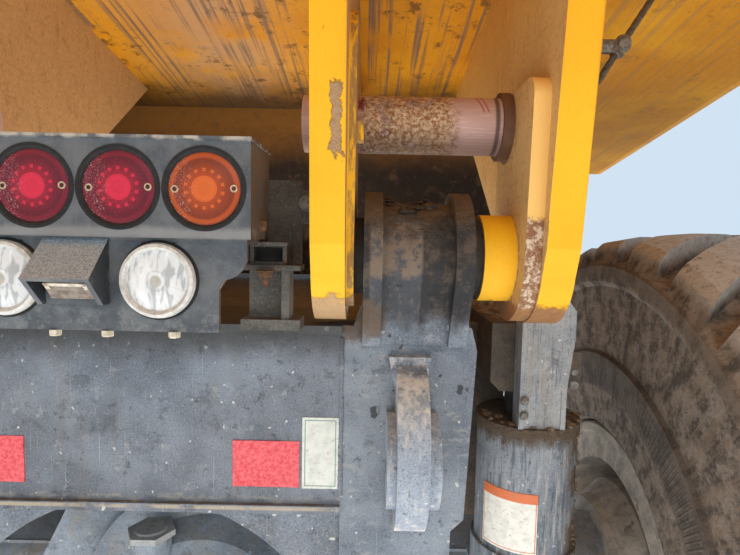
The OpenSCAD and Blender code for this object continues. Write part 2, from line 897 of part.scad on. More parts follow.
// Beam across the tail, on the floor's underside
beam_h = 110;
beam_l = 140;
module body_tail_beam() {
  color(body_yellow)
    yz_plate(-floor_half, 2 * floor_half)
      polygon([
        [-body_tail, under_floor(-body_tail)], [-body_tail, floor_at(-body_tail) - beam_h],
        [-body_tail + beam_l, floor_at(-body_tail + beam_l) - beam_h + 30],
        [-body_tail + beam_l, under_floor(-body_tail + beam_l)]
      ]);
}

// Outline of an ear as [y, z]: a round lower end, a steep rear edge up to the floor, and a
// front edge that spreads forward as a gusset
ear_back_top = 195;
ear_front_top = 780;
ear_swell = 14;
ear_swell_up = 20;
ear_lean = 158;
ear_lean_up = 345;
module ear_outline() {
  back = -hinge_y - ear_back_top;
  front = -hinge_y + ear_front_top;
  union() {
    translate([-hinge_y, hinge_z]) circle(r = ear_r);
    polygon([
      [-hinge_y - ear_r * cos(12), hinge_z - ear_r * sin(12)],
      [-hinge_y - ear_r - ear_swell, hinge_z + ear_swell_up],
      [-hinge_y - ear_lean, hinge_z + ear_lean_up],
      [back, under_floor(back)], [front, under_floor(front)],
      [-hinge_y + ear_r * cos(12), hinge_z - ear_r * sin(12)]
    ]);
  }
}

// Inner ear with its thin doubler and the lock pin's keeper
keeper = [24, 36, 28];
keeper_drop = 39;
module ear_inner() {
  color(body_yellow)
    difference() {
      union() {
        yz_plate(ear_in_x, ear_t) ear_outline();
        yz_plate(ear_in_end - 1, inner_doubler_t + 1)
          union() {
            translate([-hinge_y, hinge_z]) circle(r = ear_r - 22);
            translate([-hinge_y - ear_r + 22, hinge_z]) square([2 * ear_r - 44, 300]);
            translate([-hinge_y, hinge_z + 300]) circle(r = ear_r - 22);
          }
        translate([
          ear_in_end - 1, -lock_pin_y - lock_pin_r - 2 - keeper[1], lock_pin_z - keeper_drop
        ])
          cube(keeper);
      }
      x_bar(hinge_pin_r, ear_in_x - 1, ear_t + inner_doubler_t + 2, -hinge_y, hinge_z);
      x_bar(lock_pin_r, ear_in_x - 1, ear_t + inner_doubler_t + 2, -lock_pin_y, lock_pin_z);
    }
}

// Outer ear with its doubler plate, the hinge's boss and the lock pin's boss
lock_boss_r = 56;
lock_boss_l = 16;
doubler_h = 266;
doubler_back = 84;
doubler_lean = 30;
module doubler_outline() {
  top = hinge_z + doubler_h;
  back = -hinge_y - doubler_back - doubler_lean;
  union() {
    translate([-hinge_y, hinge_z]) circle(r = ear_r - 3);
    translate([back + 30, top - 30]) circle(r = 30);
    polygon([
      [-hinge_y - ear_r + 3, hinge_z], [back, top - 30], [back + 30, top],
      [-hinge_y + 90, top], [-hinge_y + ear_r - 3, hinge_z]
    ]);
  }
}
module ear_outer() {
  boss_x = doubler_x - boss_l;
  color(body_yellow)
    difference() {
      union() {
        yz_plate(ear_out_x, ear_t) ear_outline();
        yz_plate(doubler_x, doubler_t + 1) doubler_outline();
        x_bar(boss_r, boss_x, boss_l + 1, -hinge_y, hinge_z);
        x_bar(lock_boss_r, doubler_x - lock_boss_l, lock_boss_l + 1, -lock_pin_y, lock_pin_z);
      }
      x_bar(hinge_pin_r, boss_x - 1, ear_out_end - boss_x + 2, -hinge_y, hinge_z);
      x_bar(lock_pin_r, doubler_x - lock_boss_l - 1, lock_pin_in + 1, -lock_pin_y, lock_pin_z);
    }
}

// Hinge pin through both ears and the eye
pin_proud = 6;
module hinge_pin() {
  color([0.45, 0.42, 0.38])
    x_bar(hinge_pin_r, ear_in_x - pin_proud, ear_out_end - ear_in_x + 2 * pin_proud,
          -hinge_y, hinge_z);
}

// Rubber seals round the hinge pin, between the eye and the ears
seal_r = 62;
module hinge_seals() {
  in_x = ear_in_end + inner_doubler_t;
  out_x = eye_end + side_gap;
  color([0.1, 0.1, 0.1])
    both()
      difference() {
        union() {
          x_bar(seal_r, in_x, eye_x - side_gap - in_x, -hinge_y, hinge_z);
          x_bar(seal_r, out_x, doubler_x - boss_l - out_x, -hinge_y, hinge_z);
        }
        x_bar(hinge_pin_r, in_x - 1, doubler_x - in_x, -hinge_y, hinge_z);
      }
}

// Stored lock pin: through the inner ear and into the boss on the outer ear
lock_pin_in = 10;
module lock_pin() {
  end = doubler_x - lock_boss_l + lock_pin_in;
  color([0.72, 0.58, 0.52])
    x_bar(lock_pin_r, ear_in_x - lock_pin_out, end - ear_in_x + lock_pin_out,
          -lock_pin_y, lock_pin_z);
}

// Lamp housing: a box with a recess for each lamp
lamp_recess = 30;
lamp_mid = lamp_bottom + 65;
module lamp_housing() {
  color(lamp_grey)
    difference() {
      translate([-lamp_half, -lamp_face, lamp_bottom])
        cube([2 * lamp_half, lamp_depth, lamp_h - 4]);
      for (x = lamp_x, s = [-1, 1])
        translate([s * x, -lamp_face + lamp_recess, lamp_mid])
          rotate([90, 0, 0]) cylinder(r = lamp_hole_r, h = lamp_recess + 1);
    }
}

// Lid on the lamp housing with a small lip
module lamp_lid() {
  color(lamp_grey)
    translate([-lamp_half - 2, -lamp_face - 4, lamp_bottom + lamp_h - 4])
      cube([2 * lamp_half + 4, lamp_depth + 8, 4]);
}

// Lenses of the tail and turn lamps, at a distance from the centreline
module lamp_pair(x, tint) {
  color(tint)
    both()
      translate([x, -lamp_face + lamp_recess, lamp_mid]) rotate([90, 0, 0])
        union() {
          cylinder(r = lamp_hole_r, h = 14);
          cylinder(r = lamp_r, h = lamp_recess - 4);
        }
}

// Bracket plate below the lamp housing, with a notch above each reversing lamp
bracket_t = 8;
bracket_y = -lamp_face + 15;
shelf_t = 4;
reverse_drop = 57;
notch_half = 24;
module bracket_side() {
  foot_half = bracket_half - 38;
  top = lamp_bottom;
  polygon([
    [-1, top], [bracket_half, top], [bracket_half, top - 28], [bracket_half - 5, top - 40],
    [bracket_half - 16, top - 50], [foot_half + 8, top - 56], [foot_half, top - 68],
    [foot_half, top - bracket_h], [-1, top - bracket_h]
  ]);
}
module lamp_bracket() {
  color(lamp_grey)
    difference() {
      union() {
        xz_plate(bracket_y, bracket_t)
          union() {
            bracket_side();
            mirror([1, 0]) bracket_side();
          }
        translate([-bracket_half, bracket_y, lamp_bottom - shelf_t])
          cube([2 * bracket_half, lamp_depth - 15, shelf_t]);
      }
      both() {
        translate([reverse_x, bracket_y + bracket_t + 1, lamp_bottom - reverse_drop])
          rotate([90, 0, 0]) cylinder(r = reverse_r + 1, h = bracket_t + 2);
        translate([reverse_x - notch_half, bracket_y - 1, lamp_bottom - reverse_drop])
          cube([2 * notch_half, bracket_t + 2, reverse_drop - shelf_t - 2]);
      }
    }
}

// Stands that carry the lamp unit from the tail cross-member: a post on a base, a shelf
// with a box on it that holds the bracket's shelf, and an upright plate behind them
stand_x = 199;
stand_y = -lamp_face + 102;
stand_l = 50;
base_h = 16;
post_top = lamp_bottom - 47;
module lamp_mounts() {
  plate_x = lamp_half - 9;
  color(lamp_grey)
    both()
      union() {
        translate([stand_x - 8, stand_y, casting_top]) cube([90, stand_l, base_h]);
        translate([stand_x, stand_y + 24, casting_top + base_h - 1])
          cube([54, 8, post_top - casting_top - base_h + 2]);
        translate([stand_x + 53, stand_y + 4, casting_top + base_h - 1])
          cube([12, stand_l - 8, post_top - casting_top - base_h + 2]);
        translate([stand_x - 6, stand_y, post_top]) cube([88, stand_l, 8]);
        translate([stand_x + 2, stand_y - 13, lamp_bottom - shelf_t - seat_gap - 5])
          cube([62, 40, 5]);
        translate([stand_x + 4, stand_y + 8, post_top + 7])
          difference() {
            cube([56, 60, lamp_bottom - shelf_t - seat_gap - post_top - 7]);
            translate([6, -1, 6]) cube([44, 40, 22]);
          }
        translate([plate_x, stand_y + 64, post_top + 7]) cube([54, 12, 134]);
        translate([plate_x + 53, stand_y + 58, post_top + 72])
          cube([ear_in_x - 6 - plate_x - 53, 12, 54]);
      }
}

// Reversing lamps: a round body with a bezel, set in the bracket plate
module reverse_lamps() {
  color([0.9, 0.88, 0.82])
    both()
      translate([reverse_x, bracket_y, lamp_bottom - reverse_drop]) rotate([90, 0, 0])
        union() {
          translate([0, 0, -bracket_t - 40]) cylinder(r = reverse_r, h = bracket_t + 40);
          cylinder(r = reverse_r + 1, h = 6);
        }
}

// Hood over the number plate's lamp: a hollow shade on the bracket plate, open below
hood_x = [-51, 36];
hood_t = 7;
hood_out = 55;
module hood_outline() {
  polygon([
    [bracket_y, lamp_bottom - 1], [bracket_y - hood_out, lamp_bottom - 53],
    [bracket_y - 18, lamp_bottom - 90], [bracket_y, lamp_bottom - 90]
  ]);
}
module plate_lamp_hood() {
  width = hood_x[1] - hood_x[0];
  color(lamp_grey)
    difference() {
      yz_plate(hood_x[0], width) hood_outline();
      yz_plate(hood_x[0] + hood_t, width - 2 * hood_t)
        polygon([
          [bracket_y - hood_t - 4, lamp_bottom - 16], [bracket_y - hood_out + 4, lamp_bottom - 56],
          [bracket_y - hood_out, lamp_bottom - 95], [bracket_y - hood_t - 4, lamp_bottom - 95]
        ]);
    }
}

// Window of the number plate's lamp: a framed glass set sloping inside the hood
module plate_lamp_window() {
  color([0.9, 0.86, 0.78])
    yz_plate(hood_x[0] + 19, 56)
      polygon([
        [bracket_y - 38, lamp_bottom - 58], [bracket_y - 18, lamp_bottom - 82],
        [bracket_y - hood_t - 4 - seat_gap, lamp_bottom - 82],
        [bracket_y - hood_t - 4 - seat_gap, lamp_bottom - 58]
      ]);
}

placed(LEFT) frame_rail();  // frame_rail_left
placed() frame_rail();  // frame_rail_right
placed(LEFT) splice_flange();  // splice_flange_left
placed() splice_flange();  // splice_flange_right
placed() tail_crossmember();
placed() mid_crossmember();
placed() frame_deck();
placed(LEFT) pivot_casting();  // pivot_casting_left
placed() pivot_casting();  // pivot_casting_right
placed(LEFT) tow_lug();  // tow_lug_left
placed() tow_lug();  // tow_lug_right
placed(LEFT) strut_outrigger();  // strut_outrigger_left
placed() strut_outrigger();  // strut_outrigger_right
placed() rest_pads();
placed() link_hangers();
placed() lower_links();
placed() top_link();
placed() strut_barrels();
placed() strut_rods();
placed() strut_guards();
placed() axle_housing();
placed() diff_cover();
placed() filler_cap();
placed() input_flange();
placed(LEFT) brake_housing();  // brake_housing_left
placed() brake_housing();  // brake_housing_right
placed() lamp_housing();
placed() lamp_lid();
placed() lamp_bracket();
placed() lamp_mounts();
placed() lamp_pair(lamp_x[0], [0.6, 0.05, 0.1]);  // tail_lamps
placed() lamp_pair(lamp_x[1], [0.85, 0.35, 0.05]);  // turn_lamps
placed() reverse_lamps();
placed() plate_lamp_hood();
placed() plate_lamp_window();
placed(LEFT) tyre();  // tyre_left
placed() tyre();  // tyre_right
placed(LEFT) rim();  // rim_left
placed() rim();  // rim_right
placed(LEFT) hub();  // hub_left
placed() hub();  // hub_right
placed() body_floor();
placed(LEFT) body_side();  // body_side_left
placed() body_side();  // body_side_right
placed() body_sills();
placed() body_bolster();
placed() body_tail_beam();
placed(LEFT) ear_inner();  // ear_inner_left
placed() ear_inner();  // ear_inner_right
placed(LEFT) ear_outer();  // ear_outer_left
placed() ear_outer();  // ear_outer_right
placed(LEFT) hinge_pin();  // hinge_pin_left
placed() hinge_pin();  // hinge_pin_right
placed() hinge_seals();
placed(LEFT) lock_pin();  // lock_pin_left
placed() lock_pin();  // lock_pin_right
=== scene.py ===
"""Rear end section of an articulated dump truck: materials, small parts, camera and light."""

import json
import math
import random

import bmesh
import bpy
from mathutils import Matrix, Vector
from mathutils.noise import noise as lump_noise


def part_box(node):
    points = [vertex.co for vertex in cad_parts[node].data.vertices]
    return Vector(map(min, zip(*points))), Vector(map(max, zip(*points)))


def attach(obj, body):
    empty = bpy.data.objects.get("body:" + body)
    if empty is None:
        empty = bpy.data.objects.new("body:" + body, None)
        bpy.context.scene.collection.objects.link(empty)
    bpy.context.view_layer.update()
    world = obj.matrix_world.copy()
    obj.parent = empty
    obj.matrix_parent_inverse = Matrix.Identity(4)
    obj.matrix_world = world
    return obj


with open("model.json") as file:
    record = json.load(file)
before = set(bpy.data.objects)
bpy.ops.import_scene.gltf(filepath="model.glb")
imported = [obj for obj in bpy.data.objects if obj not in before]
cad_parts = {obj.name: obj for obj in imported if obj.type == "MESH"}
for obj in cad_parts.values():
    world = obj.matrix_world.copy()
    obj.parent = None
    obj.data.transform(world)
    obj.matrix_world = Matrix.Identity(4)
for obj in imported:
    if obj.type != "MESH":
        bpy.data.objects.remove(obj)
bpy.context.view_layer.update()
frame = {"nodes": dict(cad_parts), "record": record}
node = frame["nodes"]

# Places, in metres in the row's frame
CAMERA = Vector((0.386, -2.469, 0.313))
CAMERA_PITCH = math.radians(-4.6)
CAMERA_ROLL = math.radians(-1.16)
FOCAL_PX = 534
PHOTO_W = 740
SENSOR = 36

LOW, HIGH = 0, 1
SIDES = (("left", -1), ("right", 1))
TAILWARD, DOWN = (0, -1, 0), (0, 0, -1)


def edge(name, end, axis):
    """The lowest or highest coordinate of a CAD node along x, y or z."""
    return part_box(name)[end]["xyz".index(axis)]


def middle(name, axis):
    """The coordinate halfway between the two ends of a CAD node."""
    return (edge(name, LOW, axis) + edge(name, HIGH, axis)) / 2


def half(name, axis):
    """Half of a CAD node's size along x, y or z."""
    return (edge(name, HIGH, axis) - edge(name, LOW, axis)) / 2


PANEL_HALF = edge("tail_crossmember", HIGH, "x")
PANEL_TOP = edge("tail_crossmember", HIGH, "z")
EYE_TOP = edge("pivot_casting_right", HIGH, "z")
LAMP_FACE = edge("lamp_housing", LOW, "y")
LAMP_LOW = edge("lamp_housing", LOW, "z")
LAMP_TOP = edge("lamp_lid", HIGH, "z")
LAMP_HALF = edge("lamp_housing", HIGH, "x")
LENS_FACE = edge("tail_lamps", LOW, "y")
LENS_Z = middle("tail_lamps", "z")
LENS_R = half("tail_lamps", "z")
TAIL_LAMP_X = edge("tail_lamps", HIGH, "x") - LENS_R
TURN_LAMP_X = edge("turn_lamps", HIGH, "x") - LENS_R
REVERSE_FACE = edge("reverse_lamps", LOW, "y")
REVERSE_Z = middle("reverse_lamps", "z")
REVERSE_R = half("reverse_lamps", "z")
REVERSE_X = edge("reverse_lamps", HIGH, "x") - REVERSE_R
BRACKET_LOW = edge("lamp_bracket", LOW, "z")
BRACKET_Y = edge("lamp_bracket", LOW, "y")
AXLE_Y = middle("tyre_right", "y")
AXLE_Z = middle("tyre_right", "z")
TYRE_R = half("tyre_right", "z")
GROUND = edge("tyre_right", LOW, "z")
EAR_OUT = edge("ear_outer_right", HIGH, "x")
PIN_R = half("lock_pin_right", "z")
PIN_Z = middle("lock_pin_right", "z")
PIN_Y = edge("lock_pin_right", LOW, "y") + PIN_R
PIN_START = edge("lock_pin_right", LOW, "x")
STRUT_TOP = edge("strut_barrels", HIGH, "z")
GUARD_FACE = edge("strut_guards", LOW, "y")

# Places that no node's box gives, on the right side where they come in pairs
TAIL_FACE = -1.611  # rear face of the panel and castings; the eyes and lugs reach further back
PANEL_LEDGE = PANEL_TOP - 0.310
EYE_X, HINGE_Y = 0.425, -1.589
STRUT_X, STRUT_Y, STRUT_R = 0.738, -1.319, 0.106
GUARD_BOLT_X = 0.797
STAND_X, STAND_PLATE_X = 0.228, 0.2845
SCREW_OUT = 0.0385  # from the middle of a round lamp


def linear(r, g, b):
    """A colour given as sRGB from 0 to 255, as linear RGBA."""
    def channel(v):
        v = v / 255
        return v / 12.92 if v <= 0.04045 else ((v + 0.055) / 1.055) ** 2.4
    return (channel(r), channel(g), channel(b), 1)


def shade(color, factor):
    return tuple(c * factor for c in color)


class Paint:
    """A procedural material: short calls that add nodes and return their outputs.

    Its colour is built up in self.color, one layer over the other.
    """

    def __init__(self, name):
        self.material = bpy.data.materials.new(name)
        self.material.use_nodes = True
        self.tree = self.material.node_tree
        self.bsdf = self.tree.nodes["Principled BSDF"]
        self.place = self.add("ShaderNodeTexCoord").outputs["Object"]
        self.geometry = self.add("ShaderNodeNewGeometry")
        self.color = None

    def add(self, kind, **settings):
        new = self.tree.nodes.new(kind)
        for key, value in settings.items():
            setattr(new, key, value)
        return new

    def put(self, socket, value):
        """Links a node's output to a socket, or sets the socket to a number or an sRGB colour."""
        if isinstance(value, bpy.types.NodeSocket):
            self.tree.links.new(value, socket)
        else:
            socket.default_value = linear(*value) if isinstance(value, tuple) else value

    def noise(self, size, detail=4, rough=0.55, distortion=0.0, place=None):
        """Noise from 0 to 1 whose features are about size metres, a number or one per axis.

        It lies in the object's own coordinates unless a place is given.
        """
        scale = self.add("ShaderNodeVectorMath", operation="DIVIDE")
        self.put(scale.inputs[0], place or self.place)
        scale.inputs[1].default_value = (size,) * 3 if isinstance(size, (int, float)) else size
        tex = self.add("ShaderNodeTexNoise")
        settings = {"Vector": scale.outputs[0], "Scale": 1, "Detail": detail, "Roughness": rough,
                    "Distortion": distortion}
        for name, value in settings.items():
            self.put(tex.inputs[name], value)
        return tex.outputs["Fac"]

    def step(self, value, low, high, a=0.0, b=1.0):
        """Maps value from low..high to a..b, smoothly and clamped."""
        new = self.add("ShaderNodeMapRange", interpolation_type="SMOOTHSTEP")
        self.put(new.inputs["Value"], value)
        for name, number in zip(("From Min", "From Max", "To Min", "To Max"), (low, high, a, b)):
            new.inputs[name].default_value = number
        return new.outputs["Result"]

    def math(self, operation, a, b=0.0):
        new = self.add("ShaderNodeMath", operation=operation)
        self.put(new.inputs[0], a)
        self.put(new.inputs[1], b)
        return new.outputs[0]

    def all(self, *masks):
        """The product of several masks and strengths."""
        result = masks[0]
        for mask in masks[1:]:
            result = self.math("MULTIPLY", result, mask)
        return result

    def any(self, *masks):
        """The largest of several masks."""
        result = masks[0]
        for mask in masks[1:]:
            result = self.math("MAXIMUM", result, mask)
        return result

    def band(self, value, low, high, soft):
        """1 where value lies between low and high, fading over soft at both ends."""
        return self.all(self.step(value, low - soft, low + soft),
                        self.step(value, high - soft, high + soft, 1, 0))

    def ragged(self, value, amount, size):
        """A value moved up and down by noise, so that a border along it turns ragged."""
        shift = self.math("MULTIPLY", self.math("SUBTRACT", self.noise(size, 5, 0.65), 0.5), amount)
        return self.math("ADD", value, shift)

    def mix(self, a, b, amount):
        new = self.add("ShaderNodeMix", data_type="RGBA")
        for socket, value in zip((0, 6, 7), (amount, a, b)):
            self.put(new.inputs[socket], value)
        return new.outputs[2]

    def layer(self, color, *masks):
        """Lays a colour over the one so far, as strongly as the masks allow together."""
        self.color = self.mix(self.color, color, self.all(*masks))

    def split(self, vector, name):
        new = self.add("ShaderNodeSeparateXYZ")
        self.put(new.inputs[0], vector)
        return new.outputs[name]

    def axis(self, name):
        """One of the object's coordinates, in metres."""
        return self.split(self.place, name)

    def off(self, value, middle=0.0):
        """How far a value lies from a middle, to either side."""
        return self.math("ABSOLUTE", self.math("SUBTRACT", value, middle))

    def radius(self, a, b):
        """Distance from the axis on which a and b are zero."""
        squares = [self.math("MULTIPLY", value, value) for value in (a, b)]
        return self.math("POWER", self.math("ADD", *squares), 0.5)

    def facing(self, name):
        """How far the surface faces along an axis of the object, from -1 to 1."""
        turn = self.add("ShaderNodeVectorTransform", vector_type="NORMAL",
                        convert_from="WORLD", convert_to="OBJECT")
        self.put(turn.inputs[0], self.geometry.outputs["Normal"])
        return self.split(turn.outputs[0], name)

    def join(self, x, y, z):
        new = self.add("ShaderNodeCombineXYZ")
        for socket, value in zip(new.inputs, (x, y, z)):
            self.put(socket, value)
        return new.outputs[0]

    def bump(self, height, depth, below=None):
        """Raises the surface by height times depth metres, on top of the bump below."""
        new = self.add("ShaderNodeBump")
        new.inputs["Distance"].default_value = depth
        self.put(new.inputs["Height"], height)
        if below is not None:
            self.put(new.inputs["Normal"], below)
        return new.outputs["Normal"]

    def finish(self, roughness, normal=None, shine=0.5, coat=0.0):
        self.put(self.bsdf.inputs["Base Color"], self.color)
        self.put(self.bsdf.inputs["Roughness"], roughness)
        if normal is not None:
            self.put(self.bsdf.inputs["Normal"], normal)
        self.bsdf.inputs["Specular IOR Level"].default_value = shine
        self.bsdf.inputs["Coat Weight"].default_value = coat
        return self.material


def grey_metal(name, dark, light, speck=(190, 188, 184), mud=(128, 108, 84), mud_amount=0.0,
               runs=0.0, rust=0.0, dirt_up=0.75, chalk=0.9):
    """Worn blue-grey paint: pitted and speckled, with tan runs, rust and dirt on its tops."""
    p = Paint(name)
    p.color = p.mix(dark, light, p.step(p.noise(0.16, 6, 0.62), 0.34, 0.66))
    fine = p.noise(0.0030, 4, 0.82)
    p.layer(speck, p.step(fine, 0.54, 0.70, 0, 0.75))
    p.layer(shade(dark, 0.45), p.step(fine, 0.46, 0.32, 0, 0.85))
    blot = p.noise(0.055, 8, 0.8)
    p.layer(shade(dark, 0.6), p.step(blot, 0.46, 0.38, 0, 0.45))
    chips = p.step(p.noise(0.022, 5, 0.75), 0.60, 0.66)
    p.layer(shade(dark, 0.55), chips, 0.6)
    worn = p.step(p.noise(0.035, 7, 0.8), 0.56, 0.64, 0, 0.35)
    p.layer(speck, worn)
    p.layer((214, 212, 206), p.step(p.noise(0.013, 1, 0.5), 0.72, 0.75, 0, chalk))
    scratch = p.step(p.noise((0.0022, 0.0022, 0.11), 2, 0.5), 0.68, 0.74, 0, 0.45)
    p.layer(speck, scratch)
    run = p.step(p.noise((0.022, 0.022, 0.30), 5, 0.6), 0.50, 0.72, 0, runs)
    p.layer(mud, run)
    stain = p.step(p.noise(0.07, 6, 0.7), 0.60, 0.70, 0, rust)
    p.layer((104, 66, 40), stain)
    patch = p.step(p.noise(0.10, 6, 0.72), 0.56 - 0.3 * mud_amount, 0.66 - 0.3 * mud_amount)
    patch = p.all(patch, min(1.0, mud_amount * 2))
    p.layer(mud, patch)
    top = p.all(p.step(p.facing("Z"), 0.35, 0.85), p.step(p.noise(0.03, 5), 0.25, 0.5))
    p.layer(shade(mud, 0.72), top, dirt_up)
    normal = p.bump(fine, 0.0012)
    normal = p.bump(p.math("ADD", patch, p.all(p.noise(0.012, 4, 0.7), 0.5)), 0.002, normal)
    return p, normal


def streaked(p, dark, light, amount=0.75):
    """Adds narrow upright streaks, dark and light."""
    streaks = p.noise((0.007, 0.007, 0.09), 6, 0.72)
    p.layer(dark, p.step(streaks, 0.48, 0.38, 0, amount))
    p.layer(light, p.step(streaks, 0.54, 0.66, 0, amount))


def plain_metal(name, dark, light, streaks=0.0, **dirt):
    """Worn metal with nothing of its own, apart from streaks where asked."""
    p, normal = grey_metal(name, dark, light, **dirt)
    if streaks:
        streaked(p, (96, 102, 110), (200, 192, 178), streaks)
    return p.finish(0.66, normal)


def panel_paint():
    """The tail cross-member: dark under its top flange, with a pale line of dirt on its ledge."""
    p, normal = grey_metal("panel_paint", (100, 106, 114), (136, 143, 152), runs=0.2)
    z = p.ragged(p.axis("Z"), 0.03, (0.03, 0.03, 0.02))
    top = p.step(z, PANEL_TOP - 0.075, PANEL_TOP - 0.015)
    p.layer((66, 62, 56), top, 0.8)
    rim = p.all(p.band(p.axis("Z"), PANEL_LEDGE, PANEL_LEDGE + 0.006, 0.001),
                p.step(p.noise(0.05, 5), 0.34, 0.5))
    p.layer((196, 178, 150), rim, 0.7)
    ledge = p.all(p.band(z, PANEL_LEDGE + 0.012, PANEL_LEDGE + 0.018, 0.004),
                  p.step(p.noise(0.03, 4), 0.34, 0.6))
    p.layer((184, 176, 162), ledge, 0.55)
    return p.finish(0.66, normal)


def casting_paint():
    """The pivot castings: mud on the eye's top, painted shade with grime darkening the neck and,
    more, the cheeks, rub and grease below.
    """
    p, normal = grey_metal("casting_paint", (110, 118, 128), (150, 158, 166), rust=0.15,
                           mud=(116, 94, 70), dirt_up=0.9)
    z = p.ragged(p.axis("Z"), 0.12, 0.05)
    # Painted shade, with some grime: the eye and its neck above the panel's top are darkened.
    neck = p.step(z, PANEL_TOP - 0.02, PANEL_TOP + 0.04)
    p.layer((44, 43, 45), neck, 0.84)
    outer = p.step(p.off(p.axis("X"), EYE_X), 0.036, 0.042)
    streak = p.step(p.noise((0.010, 0.010, 0.05), 6, 0.75), 0.50, 0.62)
    p.layer((112, 106, 100), streak, neck, neck, 0.5)
    splash = p.all(p.band(p.ragged(z, 0.05, 0.03), EYE_TOP - 0.13, EYE_TOP - 0.06, 0.012),
                   p.step(p.noise(0.03, 6, 0.75), 0.40, 0.54))
    p.layer((132, 112, 90), splash, 0.75)
    mud = p.step(z, EYE_TOP - 0.075, EYE_TOP - 0.035)
    p.layer(p.mix((74, 58, 42), (116, 92, 66), p.noise(0.02, 5)), mud)
    # The cheeks are darker still: painted shade mottled with grime.
    cheek = p.all(neck, outer, p.step(z, EYE_TOP - 0.03, EYE_TOP - 0.07))
    p.layer(p.mix((24, 22, 22), (74, 62, 52), p.step(p.noise(0.03, 6, 0.75), 0.5, 0.62)), cheek,
            0.85)
    normal = p.bump(p.all(mud, p.noise(0.018, 5, 0.7)), 0.012, normal)
    foot = p.all(p.band(z, PANEL_TOP - 0.02, PANEL_TOP + 0.035, 0.012),
                 p.step(p.axis("X"), 0.42, 0.40))
    p.layer((98, 76, 54), foot, 0.8)
    rub = p.all(p.step(p.noise((0.05, 0.05, 0.02), 7, 0.8), 0.54, 0.64),
                p.step(z, PANEL_TOP, PANEL_TOP - 0.05))
    p.layer((176, 174, 168), rub, 0.55)
    grease = p.step(p.noise(0.045, 3, 0.5), 0.69, 0.72)
    p.layer((38, 38, 40), grease, 0.8)
    return p.finish(0.68, normal)


def lug_paint():
    """The tow lugs: pale wear on the face, tan dirt on the top third and the bottom."""
    p, normal = grey_metal("lug_paint", (112, 123, 139), (160, 170, 182), speck=(214, 212, 206),
                           dirt_up=0.25)
    wipe = p.step(p.noise((0.012, 0.012, 0.05), 7, 0.78), 0.52, 0.62, 0, 0.7)
    p.layer((208, 204, 196), wipe)
    z = p.ragged(p.axis("Z"), 0.10, (0.02, 0.02, 0.06))
    high, low = edge("tow_lug_right", HIGH, "z"), edge("tow_lug_right", LOW, "z")
    dirt = p.any(p.step(z, high - 0.11, high - 0.06), p.step(z, low + 0.05, low + 0.02))
    dirt = p.all(dirt, p.step(p.noise(0.03, 5, 0.7), 0.40, 0.60))
    p.layer((226, 219, 208), dirt, 0.8)
    return p.finish(0.66, normal)


def strut_paint():
    """The strut barrels: vertical tan and blue-grey streaks, thick mud at the rim."""
    p, normal = grey_metal("strut_paint", (114, 124, 134), (158, 164, 170), runs=0.65,
                           mud=(168, 156, 138))
    streaked(p, (84, 92, 102), (196, 190, 178))
    z = p.ragged(p.axis("Z"), 0.07, (0.02, 0.02, 0.05))
    crust = p.step(z, STRUT_TOP - 0.05, STRUT_TOP - 0.015)
    side = p.step(p.axis("X"), STRUT_X + 0.05, STRUT_X + 0.085)
    crust = p.any(crust, p.all(side, p.step(p.noise(0.06, 5), 0.38, 0.5)))
    p.layer(p.mix((96, 78, 60), (140, 118, 94), p.noise(0.02, 5)), crust)
    normal = p.bump(p.all(crust, p.noise(0.012, 5, 0.7)), 0.012, normal)
    return p.finish(0.72, normal)


def yellow_base(p, clean, deep):
    """The body's yellow, in wide patches of two tones with fine darker specks."""
    wide = p.mix(clean, deep, p.step(p.noise(0.35, 5, 0.6), 0.36, 0.64))
    return p.mix(wide, shade(clean, 0.9), p.step(p.noise(0.006, 3, 0.7), 0.5, 0.75, 0, 0.5))


def floor_paint():
    """The body's floor: dusty yellow with runs and blotches below, painted shade towards the
    bolster, scraped steel on top.
    """
    p = Paint("floor_paint")
    aside = p.off(p.axis("X"))
    below = p.step(p.facing("Z"), 0.3, -0.3)
    p.color = yellow_base(p, (238, 166, 6), (212, 138, 4))
    tan = p.step(p.ragged(aside, 0.5, 0.4), 0.30, 0.02, 0.04, 0.95)
    dust = p.all(tan, p.step(p.noise(0.20, 7, 0.66), 0.30, 0.58))
    p.layer((200, 156, 112), dust)
    middle = p.step(aside, 0.70, 0.60, 0.4, 1)
    streak = p.step(p.noise((0.014, 0.9, 0.9), 4, 0.6), 0.50, 0.62)
    streak = p.all(streak, middle, p.step(p.noise((0.16, 0.4, 0.4), 3), 0.38, 0.54))
    p.layer((132, 108, 92), streak, 0.9)
    blotch = p.all(p.step(p.noise(0.05, 7, 0.75), 0.54, 0.62),
                   p.step(p.noise(0.25, 3), 0.42, 0.56))
    p.layer((104, 72, 36), blotch, middle, below, 0.8)
    p.layer((124, 84, 44), p.step(p.noise(0.009, 4, 0.7), 0.62, 0.68, 0, 0.6))
    # Painted shade: the underside turns dark brown towards the bolster, in the middle of the floor.
    deep = p.all(p.step(p.ragged(p.axis("Y"), 0.25, 0.15), -0.98, -0.70),
                 p.step(aside, 0.74, 0.62, 0.25, 1))
    p.layer((56, 38, 22), deep, below, 0.9)
    above = p.all(p.step(p.facing("Z"), 0.6, 0.9),
                  p.step(p.noise(0.30, 7, 0.72), 0.36, 0.56, 0.25, 1))
    load = p.mix((150, 134, 116), (120, 107, 94),
                 p.step(p.noise((0.03, 0.5, 0.5), 6, 0.7), 0.42, 0.60))
    p.layer(load, above)
    return p.finish(0.66, p.bump(p.noise(0.008, 4, 0.7), 0.0012), shine=0.3)


def body_paint():
    """The body's outer sides, sills and beam: cleaner yellow with dusty runs."""
    p = Paint("body_paint")
    p.color = yellow_base(p, (238, 172, 44), (224, 148, 34))
    run = p.step(p.noise((0.05, 0.05, 0.6), 5, 0.6), 0.54, 0.72, 0, 0.5)
    p.layer((176, 134, 84), run)
    p.layer((120, 92, 60), p.step(p.facing("Z"), 0.4, 0.9, 0, 0.7))
    return p.finish(0.55, p.bump(p.noise(0.01, 3), 0.0006))


